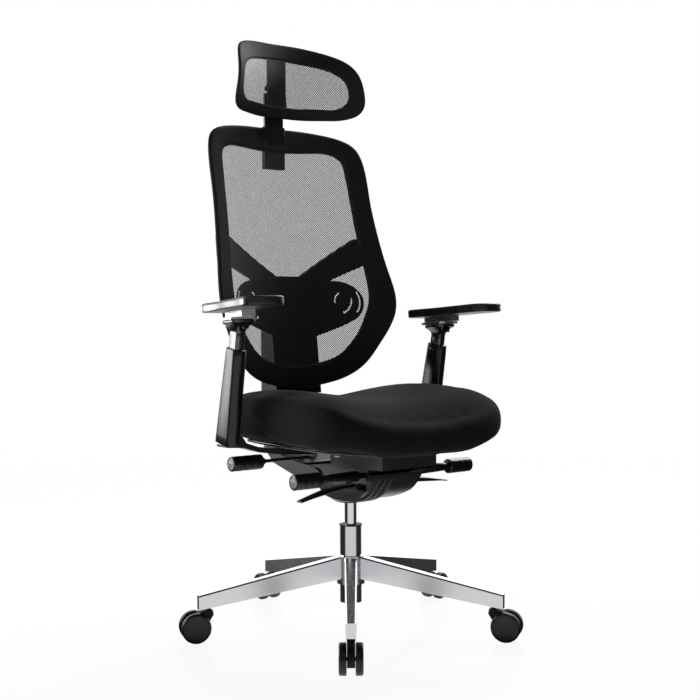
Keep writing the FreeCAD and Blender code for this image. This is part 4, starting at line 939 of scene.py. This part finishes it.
nodeFinish = {
    "base_star": polishedAluminium, "column_tube": blackChrome, "column_guide_bush": grainedPlastic,
    "column_thrust_bearing": brushedSteel, "column_piston_rod": brushedSteel,
    "column_gas_cylinder": brightChrome, "column_release_pin": brushedSteel, "mechanism_tray": powderCoat,
    "mechanism_cowl": cowlPlastic, "mechanism_pivot_shafts": powderCoat, "mechanism_springs": brushedSteel,
    "paddle_pins": brushedSteel, "seat_plate": powderCoat, "seat_bolts": brushedSteel,
    "back_bracket": powderCoat, "back_support": grainedPlastic, "lumbar_pad": grainedPlastic,
    "headrest_clip": grainedPlastic, "headrest_stem": sheenPlastic, "headrest_hinge_pin": brushedSteel,
}
for name in sides:
    nodeFinish.update({f"arm_bracket_{name}": cowlPlastic, f"arm_turntable_{name}": polishedAluminium,
                       f"arm_slider_{name}": polishedAluminium, f"arm_trigger_{name}": grainedPlastic})
for number in range(1, 6):
    nodeFinish[f"caster_{number}_hood"] = grainedPlastic
for name, material in nodeFinish.items():
    mesh = cadNodes[name].data
    mesh.materials.clear()
    mesh.materials.append(material)
print("CAD finishes set:", len(nodeFinish))


# Floor, light and camera.

studio = {
    "floorRadius": 30.0, "fadeStart": 1.2, "fadeEnd": 4.0, "glow": 0.92,
    "axis": (-0.611, -0.791, 0.0),        # from the chair to the camera
    # how bright near the camera, behind the chair and everywhere, and where the bright side starts
    "air": (0.14, 1.5, 0.03, -0.46), "card": (0.75, 0.8, 0.03, -0.70),
    "duskFrom": 0.38, "duskDeep": 0.20,
    "nearFrom": 0.45, "nearFade": 0.20, "behindFade": 0.12, "duskShare": 0.9, "floorDrop": 0.0003,
}
softboxes = {        # place, what it is aimed at, width, height and power
    "topBox": ((1.9, 0.6, 2.4), (0, 0, 0.6), 1.7, 1.7, 62),
    "cameraBox": ((-2.2, -2.0, 2.6), (0, 0, 0.6), 0.9, 0.9, 4),
    "sideBox": ((-1.75, 1.9, 1.0), (-0.3, 0, 0.62), 1.1, 1.5, 42),
}


class StudioGraph(Finish):
    # the same node methods for the air of the studio and for its floor
    def __init__(self, tree):
        self.nodes, self.links = tree.nodes, tree.links

    def around(self, where, front, back, side, edge):
        # how bright the studio is by direction: a lobe near the camera, a wide one behind, dark between them
        kind = "ShaderNodeVectorMath"
        ray = self.node(kind, {"operation": "MULTIPLY"}, {0: where, 1: (1, 1, 0)})
        ray = self.node(kind, {"operation": "NORMALIZE"}, {0: ray})
        facing = self.node(kind, {"operation": "DOT_PRODUCT"}, {0: ray, 1: studio["axis"]}, "Value")
        near = ((facing - studio["nearFrom"]) / studio["nearFade"]).clamped()
        behind = ((edge - facing) / studio["behindFade"]).clamped()
        return near * front + behind * back + side

    def seen(self):
        return self.node("ShaderNodeLightPath", {}, {}, "Is Camera Ray")


def makeFloor():
    # a wide disc, glossy and pale by the chair, that turns into plain white far away
    angle = np.linspace(0, 2 * math.pi, 64, endpoint=False)[None, :]
    radius = np.array([1e-6, 1.0, 3.0, 8.0, studio["floorRadius"]])[:, None]
    level = np.full((len(radius), angle.shape[1]), -studio["floorDrop"])
    points = np.stack([radius * np.cos(angle), radius * np.sin(angle), level], -1)
    floor = makePiece("floor", [surface(points)])
    if floor.data.polygons[0].normal.z < 0:
        floor.data.flip_normals()
    finish = Finish("paleFloor", {"Base Color": (0.93, 0.935, 0.95, 1), "Roughness": 0.16,
                                  "Specular IOR Level": 0.3})
    graph = StudioGraph(finish.material.node_tree)
    where = finish.place()
    distance = graph.node("ShaderNodeVectorMath", {"operation": "LENGTH"}, {0: where}, "Value")
    far = ((distance - studio["fadeStart"]) / (studio["fadeEnd"] - studio["fadeStart"])).clamped()
    white = graph.node("ShaderNodeEmission", {}, {"Color": (1, 1, 1, 1), "Strength": 1.0})
    pale = graph.node("ShaderNodeMixShader", {}, {0: studio["glow"] + (1 - studio["glow"]) * far,
                                                  1: Value(graph, finish.shader.outputs[0]), 2: white})
    around = graph.around(where, *studio["card"])
    card = graph.node("ShaderNodeEmission", {}, {"Color": (1, 1, 1, 1), "Strength": around})
    mixed = graph.node("ShaderNodeMixShader", {}, {0: graph.seen(), 1: card, 2: pale})
    finish.links.new(mixed.socket, finish.nodes["Material Output"].inputs["Surface"])
    floor.data.materials.append(finish.material)
    floor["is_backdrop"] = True


def makeWorld():
    # plain white where it is seen; as light, bright behind the chair, dim from the camera's side, dark
    # between them and fading out overhead
    world = bpy.data.worlds.new("studioAir")
    bpy.context.scene.world = world
    world.use_nodes = True
    graph = StudioGraph(world.node_tree)
    direction = graph.node("ShaderNodeTexCoord", {}, {}, "Generated")
    light = graph.around(direction, *studio["air"])
    height, = graph.parts(direction, "Z")
    dusk = ((height - studio["duskFrom"]) / studio["duskDeep"]).clamped()
    light = light * (1.0 - studio["duskShare"] * dusk)
    strength = graph.node("ShaderNodeMix", {}, {0: graph.seen(), 2: light, 3: 1.0})
    graph.links.new(strength.socket, graph.nodes["Background"].inputs["Strength"])
    graph.nodes["Background"].inputs["Color"].default_value = (1, 1, 1, 1)


def addSoftbox(name, where, aim, width, height, power):
    lamp = bpy.data.lights.new(name, "AREA")
    lamp.shape, lamp.size, lamp.size_y, lamp.energy = "RECTANGLE", width, height, power
    holder = bpy.data.objects.new(name, lamp)
    holder.location = where
    holder.rotation_euler = (Vector(aim) - Vector(where)).to_track_quat("-Z", "Y").to_euler()
    bpy.context.scene.collection.objects.link(holder)


camera = {"heading": math.radians(37.68), "pitch": 0.02865, "roll": 0.00387, "place": (-1.638, -2.121, 0.708),
          "lens": 61.12, "sensor": 36.0, "clipEnd": 100}


def addCamera():
    eye = bpy.data.objects.new("camera", bpy.data.cameras.new("camera"))
    eye.data.lens, eye.data.sensor_width = camera["lens"], camera["sensor"]
    eye.data.clip_end = camera["clipEnd"]
    forward = Vector((math.sin(camera["heading"]) * math.cos(camera["pitch"]),
                      math.cos(camera["heading"]) * math.cos(camera["pitch"]), -math.sin(camera["pitch"])))
    eye.rotation_mode = "QUATERNION"
    eye.rotation_quaternion = forward.to_track_quat("-Z", "Y") @ Quaternion((0, 0, 1), -camera["roll"])
    eye.location = camera["place"]
    bpy.context.scene.collection.objects.link(eye)
    bpy.context.scene.camera = eye


makeFloor()
makeWorld()
for name, box in softboxes.items():
    addSoftbox(name, *box)
addCamera()
bpy.context.scene.view_settings.view_transform = "Standard"
print("studio set")

low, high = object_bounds()
